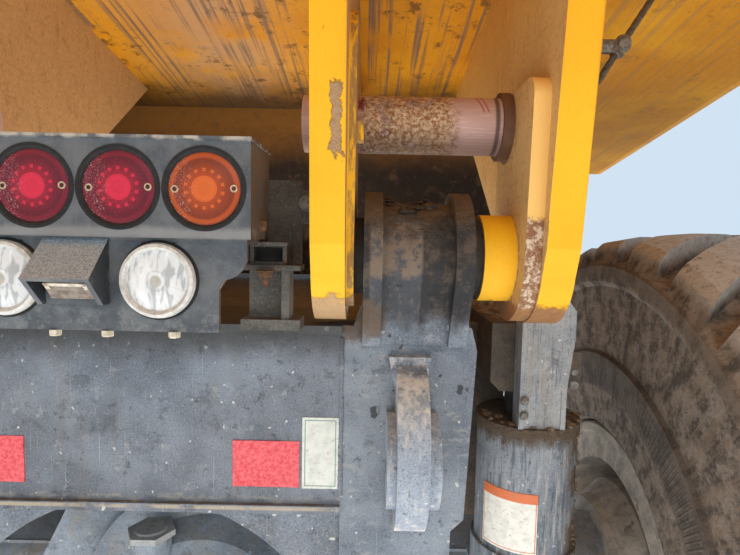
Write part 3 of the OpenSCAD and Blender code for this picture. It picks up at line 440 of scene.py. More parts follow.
def bolster_paint():
    """The cross bolster: painted shade, dark below and fading to yellow-brown where it meets the
    floor, with specks of dirt.
    """
    p = Paint("bolster_paint")
    z = p.ragged(p.axis("Z"), 0.14, 0.10)
    top = edge("body_bolster", HIGH, "z")
    # Painted shade: nearly black low down, fading to yellow-brown near the top.
    shade_fade = p.step(z, top - 0.22, top - 0.02)
    p.color = p.mix((32, 23, 16), (140, 96, 36), shade_fade)
    p.layer((96, 74, 54), p.step(p.noise(0.04, 6, 0.7), 0.52, 0.68, 0, 0.6))
    return p.finish(0.85, p.bump(p.noise(0.02, 5), 0.003))


def ear_base(p, dust, low, high):
    """Clean yellow edges, and sides under dust and brown drips that thin out upwards."""
    clean = yellow_base(p, (255, 194, 34), (250, 182, 28))
    side = p.step(p.off(p.facing("X")), 0.55, 0.75)
    cover = p.mix(dust, shade(dust, 0.84), p.noise(0.03, 6, 0.7))
    drips = p.step(p.noise((0.03, 0.024, 0.07), 7, 0.78), 0.54, 0.66)
    cover = p.mix(cover, (122, 88, 56), p.all(drips, 0.45))
    grit = p.noise(0.007, 6, 0.85)
    cover = p.mix(cover, (116, 82, 48), p.step(grit, 0.47, 0.36, 0, 0.6))
    cover = p.mix(cover, (240, 200, 140), p.step(grit, 0.54, 0.66, 0, 0.5))
    scuffs = p.step(p.noise((0.03, 0.10, 0.004), 5, 0.7), 0.58, 0.68, 0, 0.5)
    cover = p.mix(cover, (132, 98, 64), scuffs)
    amount = p.step(p.ragged(p.axis("Z"), 0.30, 0.12), low, high, 0.9, 0.3)
    p.color = p.mix(clean, cover, p.all(side, amount))
    nicks = p.step(p.noise((0.008, 0.008, 0.016), 4, 0.7), 0.70, 0.73)
    p.layer((120, 78, 40), nicks, 0.8)


def ear_finish(p, rough_places):
    """Fine grain all over, and coarser grain in the rough places."""
    normal = p.bump(p.noise(0.008, 4, 0.7), 0.0006)
    normal = p.bump(p.all(rough_places, p.noise(0.008, 4, 0.7)), 0.005, normal)
    return p.finish(0.55, normal, shine=0.3)


def ear_inner_paint():
    """The inner ears: a scrape high on the rear edge, a tip worn down to grey primer, and a boss
    painted dark with mud and painted shade.
    """
    p = Paint("ear_inner_paint")
    ear_base(p, (206, 166, 124), 0.75, 1.2)
    x, z = p.off(p.axis("X")), p.axis("Z")
    # Past the doubler the boss is painted dark brown: partly mud, partly painted shade.
    boss_mud_and_shade = p.all(p.step(x, 0.3500, 0.3515),
                 p.step(p.noise((0.01, 0.01, 0.05), 6, 0.75), 0.40, 0.56))
    p.layer(p.mix((112, 84, 54), (176, 138, 92), p.noise(0.012, 5, 0.7)), boss_mud_and_shade, 0.85)
    scrape = p.all(p.band(p.ragged(x, 0.034, 0.024), 0.3290, 0.3440, 0.001),
                   p.band(p.ragged(z, 0.09, 0.020), 0.425, 0.512, 0.003),
                   p.step(p.facing("Y"), -0.6, -0.8))
    p.layer(p.mix((196, 162, 120), (170, 134, 104), p.noise(0.01, 5)), scrape)
    tip = p.step(p.ragged(z, 0.05, 0.02), 0.222, 0.214)
    worn = p.mix((226, 186, 134), (176, 138, 104), p.noise(0.014, 6, 0.75))
    p.layer(worn, tip, p.step(p.noise(0.03, 6, 0.7), 0.32, 0.42, 0.2, 1))
    return ear_finish(p, p.any(tip, scrape))


def ear_outer_paint():
    """The outer ears: a dusty strip down the doubler, crusty at its foot, and a rusty tip."""
    p = Paint("ear_outer_paint")
    ear_base(p, (222, 184, 128), 0.45, 1.1)
    x, z = p.off(p.axis("X")), p.axis("Z")
    edge_on = p.step(p.off(p.facing("X")), 0.6, 0.4)
    strip = p.all(p.step(x, 0.6375, 0.6355), p.step(x, 0.609, 0.611), edge_on)
    p.layer((250, 204, 124), strip, 0.85)
    crust = p.all(strip, p.step(p.ragged(z, 0.07, 0.02), 0.345, 0.330))
    worn = p.mix((154, 108, 74), (226, 204, 176), p.step(p.noise(0.012, 6, 0.75), 0.46, 0.58))
    p.layer(worn, crust)
    tip = p.step(p.ragged(z, 0.035, 0.015), 0.212, 0.203)
    p.layer(p.mix((128, 78, 44), (190, 140, 90), p.noise(0.012, 6, 0.75)), tip)
    from_pin = p.radius(p.math("SUBTRACT", p.axis("Y"), PIN_Y), p.math("SUBTRACT", z, PIN_Z))
    boss = p.all(p.step(from_pin, 0.062, 0.059), p.step(x, 0.6125, 0.6105))
    p.layer(p.mix((126, 92, 70), (92, 66, 50), p.noise(0.02, 5)), boss)
    return ear_finish(p, p.any(tip, crust))


def pin_paint():
    """The stored lock pins: bare pinkish steel with a crust of grit, crimson at one end."""
    p = Paint("pin_paint")
    p.color = p.mix((186, 148, 136), (210, 176, 166), p.noise(0.05, 5, 0.6))
    scratch = p.step(p.noise((0.05, 0.002, 0.002), 3), 0.56, 0.66, 0, 0.5)
    p.layer((226, 200, 190), scratch)
    x = p.off(p.axis("X"))
    grit = p.all(p.band(p.ragged(x, 0.06, 0.03), PIN_START + 0.095, PIN_START + 0.245, 0.012),
                 p.step(p.noise(0.03, 6, 0.7), 0.36, 0.44))
    grain = p.mix((150, 98, 52), (222, 192, 156), p.step(p.noise(0.007, 5, 0.8), 0.40, 0.60))
    p.layer(grain, grit)
    low = p.step(p.facing("Z"), -0.1, -0.8, 0, 0.5)
    p.layer((84, 52, 34), low)
    red = p.all(p.band(x, PIN_START + 0.082, PIN_START + 0.100, 0.004),
                p.step(p.noise(0.02, 4), 0.45, 0.55))
    p.layer((128, 34, 40), red)
    slant = p.math("ADD", x, p.math("MULTIPLY", p.axis("Z"), 0.35))
    marks = p.any(p.band(slant, 0.742, 0.745, 0.001), p.band(slant, 0.750, 0.753, 0.001))
    marks = p.all(marks, p.step(p.axis("Z"), PIN_Z + 0.012, PIN_Z + 0.018))
    p.layer((160, 44, 44), marks, 0.7)
    rings = p.any(p.band(x, 0.348, 0.356, 0.002), p.band(x, 0.583, 0.590, 0.002))
    p.layer((54, 40, 34), rings, 0.8)
    normal = p.bump(p.all(grit, p.noise(0.005, 3)), 0.006, p.bump(p.noise(0.01, 4), 0.001))
    return p.finish(0.62, normal)


def axle_paint():
    """Axle and links: blue-grey paint under tan mud."""
    return plain_metal("axle_paint", (122, 132, 142), (164, 172, 180), mud=(160, 144, 122),
                       mud_amount=0.2, runs=0.4, rust=0.2, dirt_up=0.2)


def tyre_rubber():
    """Dusty rubber: pale lug tops, a tan rib, brown streaks and a moulded band on the wall."""
    p = Paint("tyre_rubber")
    y = p.math("SUBTRACT", p.axis("Y"), AXLE_Y)
    z = p.math("SUBTRACT", p.axis("Z"), AXLE_Z)
    radius = p.radius(y, z)
    angle = p.math("ARCTAN2", z, y)
    around = p.join(p.math("MULTIPLY", angle, TYRE_R), radius, p.axis("X"))
    dust = p.noise(0.05, 6, 0.68)
    p.color = p.mix((80, 71, 62), (148, 134, 120), p.step(dust, 0.40, 0.60))
    fine = p.noise(0.010, 6, 0.8)
    p.layer((62, 52, 44), p.step(fine, 0.46, 0.34, 0, 0.7))
    p.layer((166, 150, 132), p.step(fine, 0.54, 0.66, 0, 0.6))
    streak = p.step(p.noise((0.02, 0.25, 0.25), 5, 0.65, place=around), 0.48, 0.60)
    p.layer((140, 120, 100), streak, 0.6)
    band = p.band(radius, 0.52, 0.625, 0.006)
    p.layer((80, 72, 66), band, 0.6)
    wear = p.step(radius, TYRE_R - 0.07, TYRE_R - 0.03)
    p.layer(p.mix((206, 198, 188), (154, 145, 135), p.noise(0.03, 6, 0.7)), wear)
    p.layer((112, 100, 88), wear, p.step(p.noise(0.012, 6, 0.8), 0.52, 0.62, 0, 0.7))
    rib = p.band(p.ragged(radius, 0.02, 0.02), 0.83, 0.872, 0.006)
    p.layer(p.mix((120, 100, 80), (82, 66, 52), p.noise(0.03, 5)), rib, 0.6)
    clods = p.step(p.noise(0.03, 6, 0.75), 0.60, 0.66)
    p.layer((96, 74, 54), clods, 0.6)
    p.layer((166, 148, 128), p.step(p.noise(0.006, 3, 0.7), 0.62, 0.72, 0, 0.6))
    ridges = p.math("SINE", p.math("MULTIPLY", angle, 260))
    ridges = p.all(p.step(ridges, 0.2, 0.8), p.band(radius, 0.53, 0.60, 0.004))
    rings = p.step(p.math("SINE", p.math("MULTIPLY", radius, 420)), 0.6, 1.0)
    rings = p.all(rings, p.band(radius, 0.63, 0.80, 0.01))
    normal = p.bump(p.noise(0.012, 5, 0.7), 0.003)
    normal = p.bump(p.any(ridges, p.all(rings, 0.2)), 0.0015, normal)
    return p.finish(0.88, normal)


def wheel_paint():
    """Rims and hubs: pale paint under tan dust, with brown patches of mud."""
    p = Paint("wheel_paint")
    p.color = p.mix((142, 135, 126), (190, 178, 162), p.step(p.noise(0.06, 6, 0.7), 0.35, 0.65))
    p.layer((184, 166, 142), p.step(p.noise(0.02, 5, 0.7), 0.56, 0.66, 0, 0.7))
    p.layer((92, 72, 56), p.step(p.noise(0.05, 6, 0.7), 0.60, 0.68, 0, 0.7))
    return p.finish(0.85, p.bump(p.noise(0.01, 4, 0.7), 0.003))


def lamp_plastic(name="lamp_plastic", dust=(116, 114, 110), dust_amount=0.6, cheek=(92, 76, 60)):
    """Charcoal lamp unit: smooth, dusty, with a pale line of dirt along its upper edges."""
    p = Paint(name)
    p.color = p.mix((72, 77, 82), (102, 105, 107), p.step(p.noise(0.05, 5, 0.6), 0.35, 0.65))
    p.layer((150, 150, 146), p.step(p.noise(0.003, 3, 0.7), 0.60, 0.72, 0, 0.5))
    z = p.ragged(p.axis("Z"), 0.012, 0.03)
    foot = p.step(p.off(z, LAMP_LOW + 0.006), 0.012, 0.002)
    p.layer((142, 142, 140), foot, 0.75)
    line = p.all(p.step(z, LAMP_TOP - 0.006, LAMP_TOP - 0.002),
                 p.step(p.noise(0.03, 5), 0.42, 0.6))
    p.layer((206, 196, 178), line, 0.7)
    side = p.step(p.facing("X"), 0.5, 0.8)
    p.layer(cheek, side, p.step(p.noise(0.02, 5), 0.3, 0.5))
    low = p.all(p.band(z, BRACKET_LOW - 0.01, BRACKET_LOW + 0.03, 0.01),
                p.step(p.noise(0.02, 6, 0.75), 0.50, 0.60))
    p.layer((150, 148, 142), low, 0.3)
    grain = p.step(p.noise(0.0025, 4, 0.75), 0.40, 0.60, 0.4, 1)
    top = p.all(p.step(p.facing("Z"), 0.25, 0.7), grain)
    p.layer(dust, top, dust_amount)
    return p.finish(0.5, p.bump(p.noise(0.002, 3), 0.0003))


def mount_paint():
    """Lamp stands: weathered grey-brown plates with rust at their edges."""
    return plain_metal("mount_paint", (76, 72, 66), (112, 108, 100), mud=(126, 92, 60), rust=0.6,
                       mud_amount=0.15, speck=(140, 134, 124), chalk=0.0)


def lens_plastic(name, dark, bright, spot, rim, leds=14):
    """A ribbed lens: a bright middle, a ring of square lights and dust at the sides."""
    p = Paint(name)
    x, z = p.axis("X"), p.axis("Z")
    radius = p.radius(x, z)
    p.color = p.mix(dark, bright, p.step(p.ragged(radius, 0.006, 0.02), 0.040, 0.012))
    p.layer(rim, p.band(radius, 0.040, 0.046, 0.002))
    p.layer(spot, p.step(radius, 0.0175, 0.0160), 0.8)
    turns = p.math("MULTIPLY", p.math("ARCTAN2", z, x), leds / math.tau)
    off = p.math("MULTIPLY", p.math("SUBTRACT", p.math("FRACT", p.math("ADD", turns, 100)), 0.5),
                 math.tau * 0.0247 / leds)
    square = p.all(p.band(radius, 0.0225, 0.0270, 0.0004), p.band(off, -0.0022, 0.0022, 0.0004))
    inner = p.all(p.band(radius, 0.0095, 0.0130, 0.0004), p.band(off, -0.0040, 0.0040, 0.0006))
    p.layer(spot, p.any(square, inner), 0.75)
    ribs = p.math("SINE", p.math("MULTIPLY", radius, 2600))
    p.layer(dark, p.step(ribs, 0.3, 0.9, 0, 0.35))
    specks = p.step(p.noise(0.0020, 4, 0.8), 0.55, 0.64)
    specks = p.all(specks, p.step(p.ragged(x, 0.03, 0.02), -0.008, -0.034, 0.08, 1))
    p.layer((206, 176, 168), specks, 0.75)
    return p.finish(0.25, p.bump(ribs, 0.00006), shine=0.35, coat=0.2)


def clear_glass():
    """The reversing lamps' glass: pale, with facets, rings and the reflector's bulb shield."""
    p = Paint("clear_glass")
    x, z = p.axis("X"), p.axis("Z")
    radius = p.radius(x, z)
    facets = p.noise((0.010, 1.0, 0.030), 2, 0.5, 0.3)
    p.color = p.mix((226, 228, 226), (160, 164, 164), p.step(facets, 0.50, 0.62, 0, 0.75))
    p.layer((250, 250, 248), p.step(facets, 0.44, 0.32, 0, 0.8))
    fan = p.math("SINE", p.math("MULTIPLY", p.math("ARCTAN2", z, x), 14))
    lines = p.all(p.step(fan, 0.90, 0.99), p.step(z, 0.002, -0.012), p.step(radius, 0.014, 0.022))
    p.layer((170, 172, 170), lines, 0.3)
    rings = p.band(p.ragged(radius, 0.002, 0.01), 0.0120, 0.0140, 0.001)
    p.layer((160, 162, 160), rings, 0.4)
    shield = p.step(p.ragged(radius, 0.006, 0.01), 0.0090, 0.0060)
    p.layer(p.mix((214, 208, 194), (150, 146, 138), p.noise(0.008, 3)), shield)
    glare = p.all(p.step(p.ragged(x, 0.03, 0.02), -0.004, -0.024), p.step(radius, 0.036, 0.030))
    p.layer((252, 252, 250), glare, 0.6)
    p.layer((206, 198, 182), p.step(p.noise(0.010, 5, 0.7), 0.56, 0.72, 0, 0.4))
    return p.finish(0.10, p.bump(facets, 0.0006), coat=0.5)


def simple(name, a, b, size=0.02, roughness=0.6, depth=0.0008):
    """Two tones mottled at one size, for small parts."""
    p = Paint(name)
    p.color = p.mix(a, b, p.step(p.noise(size, 5, 0.65), 0.35, 0.65))
    return p.finish(roughness, p.bump(p.noise(size / 3, 4, 0.7), depth))


def sign_paint(name, face, border, width, height, header=0.0, line=0.0016, inset=0.004):
    """A blank plate: a thin printed border, a coloured header if any, dust and scratches."""
    p = Paint(name)
    x, z = p.off(p.axis("X")), p.axis("Z")
    far = p.any(p.math("SUBTRACT", x, width / 2), p.math("SUBTRACT", p.off(z), height / 2))
    p.color = p.mix(face, shade(face, 0.93), p.step(p.noise(0.02, 5), 0.4, 0.65))
    if header:
        p.layer(border, p.step(z, height / 2 - header - 0.0005, height / 2 - header))
    p.layer(border, p.band(far, -inset - line, -inset, 0.0003))
    p.layer((150, 130, 106), p.step(p.noise(0.008, 7, 0.8), 0.54, 0.68, 0, 0.7))
    p.layer((110, 96, 82), p.step(p.noise((0.02, 0.02, 0.002), 3), 0.64, 0.70, 0, 0.5))
    return p.finish(0.45, p.bump(p.noise(0.01, 3), 0.0004))


slots = {
    "frame_paint": plain_metal("frame_paint", (88, 92, 98), (124, 128, 132), runs=0.4,
                               mud=(126, 106, 84), mud_amount=0.12, rust=0.2),
    "body_paint": body_paint(), "axle_paint": axle_paint(),
    "tyre_rubber": tyre_rubber(), "wheel_paint": wheel_paint(), "lamp_plastic": lamp_plastic(),
    "lens_red": simple("lens_base_red", (70, 14, 20), (96, 20, 28), roughness=0.3),
    "lens_amber": simple("lens_base_amber", (120, 52, 20), (150, 70, 26), roughness=0.3),
    "lens_clear": simple("bezel_cream", (222, 214, 196), (190, 178, 156), roughness=0.35),
    "pin_steel": simple("hinge_steel", (110, 98, 86), (78, 66, 56)),
    "rod_steel": simple("rod_steel", (96, 92, 88), (70, 64, 58), roughness=0.4),
    "pad_rubber": simple("rubber", (46, 42, 40), (66, 58, 50), roughness=0.9),
}
own_paint = {
    "tail_crossmember": panel_paint(), "pivot_casting_right": casting_paint(),
    "tow_lug_right": lug_paint(), "strut_barrels": strut_paint(),
    "strut_guards": plain_metal("guard_paint", (138, 142, 146), (180, 180, 178), runs=0.6,
                                mud=(168, 150, 124), rust=0.3, streaks=0.6),
    "strut_outrigger_right": plain_metal("outrigger_paint", (66, 58, 50), (98, 86, 72),
                                         mud=(118, 94, 70), mud_amount=0.25, rust=0.4,
                                         speck=(132, 118, 100), chalk=0.0),
    "body_floor": floor_paint(), "body_bolster": bolster_paint(),
    "ear_inner_right": ear_inner_paint(), "ear_outer_right": ear_outer_paint(),
    "lock_pin_right": pin_paint(), "lamp_mounts": mount_paint(),
    "filler_cap": plain_metal("plug_paint", (150, 152, 152), (190, 188, 182), dirt_up=0.2,
                              chalk=0.0),
    "plate_lamp_hood": lamp_plastic("hood_plastic", (182, 194, 202), 0.85, (52, 55, 58)),
    "plate_lamp_window": simple("window_glass", (138, 124, 108), (92, 76, 60), 0.012, 0.2),
}
for name in ("pivot_casting", "tow_lug", "strut_outrigger", "ear_inner", "ear_outer", "lock_pin"):
    own_paint[name + "_left"] = own_paint[name + "_right"]


for part in frame["record"]["subparts"]:
    materials = node[part["node"]].data.materials
    materials.clear()
    materials.append(own_paint.get(part["node"], slots[part["material_slot"]]))


def soften(width, *names):
    """Rounds the sharp edges of CAD nodes by width metres."""
    for name in names:
        piece = node[name]
        flat = piece.modifiers.new("flat_faces", "DECIMATE")
        flat.decimate_type = "DISSOLVE"
        flat.angle_limit = math.radians(1)
        bevel = piece.modifiers.new("rounded_edges", "BEVEL")
        bevel.width = width
        bevel.segments = 3
        bevel.limit_method = "ANGLE"
        bevel.angle_limit = math.radians(40)
        bevel.harden_normals = True


soften(0.004, "ear_inner_left", "ear_inner_right", "ear_outer_left", "ear_outer_right")
soften(0.003, "lamp_housing", "plate_lamp_hood", "tail_crossmember")
soften(0.0012, "lamp_lid", "lamp_bracket", "lamp_mounts", "strut_guards")
soften(0.006, "tow_lug_left", "tow_lug_right")
soften(0.008, "pivot_casting_left", "pivot_casting_right", "strut_outrigger_left",
       "strut_outrigger_right")
soften(0.004, "lock_pin_left", "lock_pin_right", "strut_barrels", "body_tail_beam")


def piece(name, mesh, material, body, slot, place=(0, 0, 0), smooth=True, turn=0.0):
    """Makes an object of a bmesh, turned about z, which rides on a CAD body."""
    bmesh.ops.recalc_face_normals(mesh, faces=mesh.faces)
    data = bpy.data.meshes.new(name)
    mesh.to_mesh(data)
    mesh.free()
    for face in data.polygons:
        face.use_smooth = smooth
    if smooth:
        data.set_sharp_from_angle(angle=math.radians(35))
    new = bpy.data.objects.new(name, data)
    new.location = place
    new.rotation_euler.z = turn
    bpy.context.scene.collection.objects.link(new)
    data.materials.append(material)
    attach(new, body)
    return new


def skin(mesh, rows, ring=False):
    """Joins rows of corners to a tube with flat ends, or to a ring that closes on itself."""
    pairs = list(zip(rows, rows[1:])) + ([(rows[-1], rows[0])] if ring else [])
    for a, b in pairs:
        for k in range(len(a)):
            n = (k + 1) % len(a)
            mesh.faces.new((a[k], a[n], b[n], b[k]))
    if not ring:
        mesh.faces.new(rows[0])
        mesh.faces.new(rows[-1])


def turned(mesh, profile, place=(0, 0, 0), axis=TAILWARD, sides=32, ring=False, twist=0.0):
    """Adds a turned solid. The profile lists (radius, height) along the axis from its foot."""
    aim = Vector(axis).to_track_quat("Z", "Y").to_matrix()
    rows = []
    for radius, height in profile:
        row = []
        for k in range(sides):
            a = math.tau * k / sides + twist
            spot = Vector((radius * math.cos(a), radius * math.sin(a), height))
            row.append(mesh.verts.new(Vector(place) + aim @ spot))
        rows.append(row)
    skin(mesh, rows, ring)


def bolt(mesh, place, axis, size, washer=True, twist=0.3):
    """Adds a hexagon head of a bolt whose shank is size metres across, with its washer."""
    foot = 0.0
    if washer:
        turned(mesh, [(size * 1.15, 0), (size * 1.15, size * 0.16), (size * 0.6, size * 0.17)],
               place, axis, 24)
        foot = size * 0.16
    turned(mesh, [(size * 0.9, foot), (size * 0.9, foot + size * 0.5),
                  (size * 0.78, foot + size * 0.62)], place, axis, 6, twist=twist)


def lens(name, x, z, material, slot):
    """A shallow ribbed dome over a lamp's face."""
    ribs = 22
    dome = []
    for k in range(ribs * 2 + 1):
        radius = LENS_R - 0.0015 - (LENS_R - 0.0025) * k / (ribs * 2)
        rise = 0.0035 * (1 - (radius / LENS_R) ** 2) ** 0.5
        dome.append((radius, rise + (0.0003 if k % 2 else 0)))
    mesh = bmesh.new()
    turned(mesh, [(LENS_R - 0.0015, -0.002)] + dome, sides=64)
    piece(name, mesh, material, "frame", slot, (x, LENS_FACE, z))


gasket_black = simple("gasket_black", (22, 22, 24), (38, 36, 34), 0.01, 0.8)
red_lens = lens_plastic("lens_red", (96, 12, 30), (160, 20, 44), (226, 40, 70), (124, 18, 36))
amber_lens = lens_plastic("lens_amber", (126, 48, 10), (180, 72, 16), (226, 108, 34), (186, 78, 16))
glass = clear_glass()
screw_cream = simple("screw_cream", (214, 196, 164), (170, 146, 112), 0.004, 0.5)
dark_hole = simple("screw_hole", (40, 34, 30), (28, 24, 22), 0.01, 0.8)
nut_cream = simple("nut_cream", (232, 224, 202), (196, 184, 158), 0.008, 0.55)
rusty = simple("rusty_bolt", (122, 84, 52), (84, 58, 40), 0.006, 0.8)
grey_bolt = simple("grey_bolt", (136, 132, 124), (98, 92, 84), 0.008, 0.6)

# Each round lamp's lens lies in a black gasket, with a screw to its left and right
gaskets, screws, holes = bmesh.new(), bmesh.new(), bmesh.new()
for label, side in SIDES:
    for kind, x, material, slot in (("tail", TAIL_LAMP_X, red_lens, "lens_red"),
                                    ("turn", TURN_LAMP_X, amber_lens, "lens_amber")):
        lens(f"{kind}_lens_{label}", side * x, LENS_Z, material, slot)
        centre = (side * x, LENS_FACE, LENS_Z)
        turned(gaskets, [(LENS_R - 0.0030, 0), (LENS_R - 0.0025, 0.0020), (LENS_R + 0.0014, 0.0050),
                         (LENS_R + 0.0052, 0.0050), (LENS_R + 0.0054, 0.0038),
                         (LENS_R + 0.0018, 0.0034)], centre, sides=64, ring=True)
        for k in (-1, 1):
            place = (side * x + k * SCREW_OUT, LENS_FACE - 0.0016, LENS_Z + k * 0.001)
            turned(screws, [(0.0030, 0), (0.0030, 0.0016), (0.0048, 0.0016), (0.0052, 0)],
                   place, sides=20, ring=True)
            turned(holes, [(0.0031, 0), (0.0031, 0.0008)], place, sides=16)
piece("lamp_gaskets", gaskets, gasket_black, "frame", "pad_rubber")
piece("lamp_screws", screws, screw_cream, "frame", "lens_clear")
piece("lamp_screw_sockets", holes, dark_hole, "frame", "pad_rubber")

# Each reversing lamp's glass lies in a white bezel, with a dark gap to the bracket round it
bezels, gaps = bmesh.new(), bmesh.new()
for label, side in SIDES:
    turned(gaps, [(REVERSE_R - 0.002, 0), (REVERSE_R - 0.001, 0.0015),
                  (REVERSE_R + 0.0036, 0.0015), (REVERSE_R + 0.0040, 0)],
           (side * REVERSE_X, BRACKET_Y, REVERSE_Z), sides=64, ring=True)
    centre = (side * REVERSE_X, REVERSE_FACE, REVERSE_Z)
    turned(bezels, [(REVERSE_R - 0.010, 0), (REVERSE_R - 0.009, 0.004), (REVERSE_R - 0.005, 0.0075),
                    (REVERSE_R - 0.001, 0.006), (REVERSE_R + 0.0008, 0)],
           centre, sides=64, ring=True)
    mesh = bmesh.new()
    inner = REVERSE_R - 0.0085
    dome = [(inner * (1 - k / 10) + 0.0004, 0.002 + 0.006 * math.sin(k / 10 * math.pi / 2))
            for k in range(11)]
    turned(mesh, [(inner, 0)] + dome, sides=66)
    piece(f"reverse_glass_{label}", mesh, glass, "frame", "lens_clear", centre)
piece("reverse_bezels", bezels, simple("bezel_white", (224, 222, 216), (194, 190, 180), 0.01, 0.3),
      "frame", "lens_clear")
piece("reverse_gaps", gaps, gasket_black, "frame", "pad_rubber")

# Frame round the glass of the number plate's lamp, standing on the sloping window
window_low, window_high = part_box("plate_lamp_window")
bars = bmesh.new()
slope_top = Vector((0, window_low.y, window_high.z))
slope_foot = Vector((0, window_high.y, window_low.z))
face = (slope_foot - slope_top).cross(Vector((1, 0, 0))).normalized()
if face.z > 0:
    face = -face
BAR, RISE = 0.006, 0.002
for a, b in (((0, 0), (1, 0)), ((0, 1), (1, 1)), ((0, 0), (0, 1)), ((1, 0), (1, 1))):
    ends = []
    for across, down in (a, b):
        spot = slope_top.lerp(slope_foot, 0.12 + 0.76 * down)
        spot.x = window_low.x + 0.003 + (window_high.x - window_low.x - 0.006) * across
        ends.append(spot)
    middle = (ends[0] + ends[1]) / 2
    along = ends[1] - ends[0]
    size = Vector((along.length + BAR, BAR, RISE * 2))
    turn = Matrix((along.normalized(), face.cross(along.normalized()), face)).transposed().to_4x4()
    stretch = Matrix.Diagonal(size.to_4d())
    bmesh.ops.create_cube(bars, size=1, matrix=Matrix.Translation(middle) @ turn @ stretch)
piece("window_frame", bars, simple("window_frame", (226, 216, 196), (186, 170, 146), 0.008, 0.5),
      "frame", "lens_clear", smooth=False)

# Bolts and nuts: under the bracket, on the lamp unit's side and stands, on the strut guards
nuts = bmesh.new()
for x in (-0.041, 0.030, 0.121, -0.132):
    turned(nuts, [(0.0085, 0), (0.0085, 0.007), (0.0072, 0.0085)],
           (x, BRACKET_Y + 0.004, BRACKET_LOW), DOWN, 6)
piece("bracket_nuts", nuts, nut_cream, "frame", "rod_steel")

small = bmesh.new()
for side in (-1, 1):
    bolt(small, (side * LAMP_HALF, LAMP_FACE + 0.068, LAMP_LOW + 0.020), (side, 0, 0), 0.009)
    shelf = (side * STAND_X, LAMP_FACE + 0.104, LAMP_LOW - 0.047)
    bolt(small, shelf, DOWN, 0.013)
    turned(small, [(0.005, 0), (0.005, 0.024)], shelf, DOWN, 12)
piece("lamp_stand_bolts", small, rusty, "frame", "rod_steel")

large = bmesh.new()
for side in (-1, 1):
    bolt(large, (side * STAND_PLATE_X, LAMP_FACE + 0.160, LAMP_LOW + 0.058), TAILWARD, 0.012)
    for z in (-0.012, -0.043):
        bolt(large, (side * (EAR_OUT + 0.014), GUARD_FACE, z), TAILWARD, 0.0085, twist=0.1)
    for z, size in ((0.022, 0.011), (0.048, 0.008)):
        bolt(large, (side * GUARD_BOLT_X, GUARD_FACE, z), TAILWARD, size, washer=False)
piece("guard_bolts", large, grey_bolt, "frame", "rod_steel")


def sheet(name, centre, width, height, material, slot, wrinkle=0.0, wrap=None, turn=0.0):
    """A thin plate, flat towards the tail, or a label wrapped round an upright barrel's axis."""
    n, lift = 24, 0.0012
    mesh = bmesh.new()
    front, rear = [], []
    for rows in (front, rear):
        for j in range(n + 1):
            row = []
            for i in range(n + 1):
                x = (i / n - 0.5) * width
                z = (j / n - 0.5) * height
                bulge = lump_noise(Vector((x, z, 0.3)) * 55) + 0.5
                y = 0.0 if rows is rear else -lift - wrinkle * bulge
                if wrap:
                    spot = ((wrap - y) * math.sin(x / wrap), (y - wrap) * math.cos(x / wrap), z)
                else:
                    spot = (x, y, z)
                row.append(mesh.verts.new(spot))
            rows.append(row)
    for rows in (front, rear):
        for j in range(n):
            for i in range(n):
                mesh.faces.new((rows[j][i], rows[j][i + 1], rows[j + 1][i + 1], rows[j + 1][i]))
    for j in (0, n):
        for i in range(n):
            mesh.faces.new((front[j][i], front[j][i + 1], rear[j][i + 1], rear[j][i]))
            mesh.faces.new((front[i][j], front[i + 1][j], rear[i + 1][j], rear[i][j]))
    return piece(name, mesh, material, "frame", slot, centre, turn=turn)


reflector = simple("reflector_red", (222, 60, 68), (240, 108, 112), 0.005, 0.3)
REFLECTOR = (0.110, 0.078)
for name, x in (("reflector_right", 0.2198), ("reflector_left", -0.236)):
    sheet(name, (x, TAIL_FACE, -0.069), *REFLECTOR, reflector, "lens_red", wrinkle=0.0012)
SIGN = (0.060, 0.121)
sheet("blank_plate", (0.3095, TAIL_FACE, -0.0495), *SIGN,
      sign_paint("blank_plate", (222, 224, 212), (120, 150, 132), *SIGN), "lens_clear")
LABEL = (0.120, 0.128)
sheet("blank_label", (STRUT_X, STRUT_Y, -0.271), *LABEL,
      sign_paint("blank_label", (246, 242, 228), (228, 120, 66), *LABEL, header=0.020),
      "lens_clear", wrap=STRUT_R, turn=-0.585)


def crust(name, spots, material, body, seed):
    """Clods of dried mud: lumpy balls at (place, size)."""
    rng = random.Random(seed)
    mesh = bmesh.new()
    for place, size in spots:
        ball = bmesh.ops.create_icosphere(mesh, subdivisions=2, radius=size)["verts"]
        shift = Vector([rng.uniform(-9, 9) for _ in range(3)])
        squash = Vector((rng.uniform(0.8, 1.5), rng.uniform(0.8, 1.5), rng.uniform(0.35, 0.6)))
        for vert in ball:
            bulge = 1 + 0.5 * lump_noise(vert.co / size * 1.3 + shift)
            vert.co = Vector(place) + Vector([a * b * bulge for a, b in zip(vert.co, squash)])
    return piece(name, mesh, material, body, "frame_paint")


clod_brown = simple("mud_crust", (110, 94, 76), (158, 138, 114), 0.012, 0.95, 0.004)
rng = random.Random(7)
spots = []
for k in range(70):  # on the barrel's rim
    angle = rng.uniform(0, math.tau)
    spots.append(((STRUT_X + math.sin(angle) * (STRUT_R - rng.uniform(-0.004, 0.03)),
                   STRUT_Y - math.cos(angle) * (STRUT_R - rng.uniform(-0.004, 0.03)),
                   STRUT_TOP + rng.uniform(-0.006, 0.004)), rng.uniform(0.003, 0.009)))
for k in range(90):  # down the barrel's outer side
    angle = rng.uniform(0.95, 1.75)
    spots.append(((STRUT_X + math.sin(angle) * STRUT_R, STRUT_Y - math.cos(angle) * STRUT_R,
                   STRUT_TOP - rng.uniform(0, 0.30)), rng.uniform(0.002, 0.006)))
crust("strut_clods", spots, clod_brown, "frame", 3)
spots = []
for k in range(110):
    x = rng.uniform(0.385, 0.482)
    back = rng.uniform(-0.05, 0.06)
    z = EYE_TOP - 0.014 - abs(back) * 0.35 + rng.uniform(-0.004, 0.004)
    spots.append(((x, HINGE_Y + back, z), rng.uniform(0.003, 0.010)))
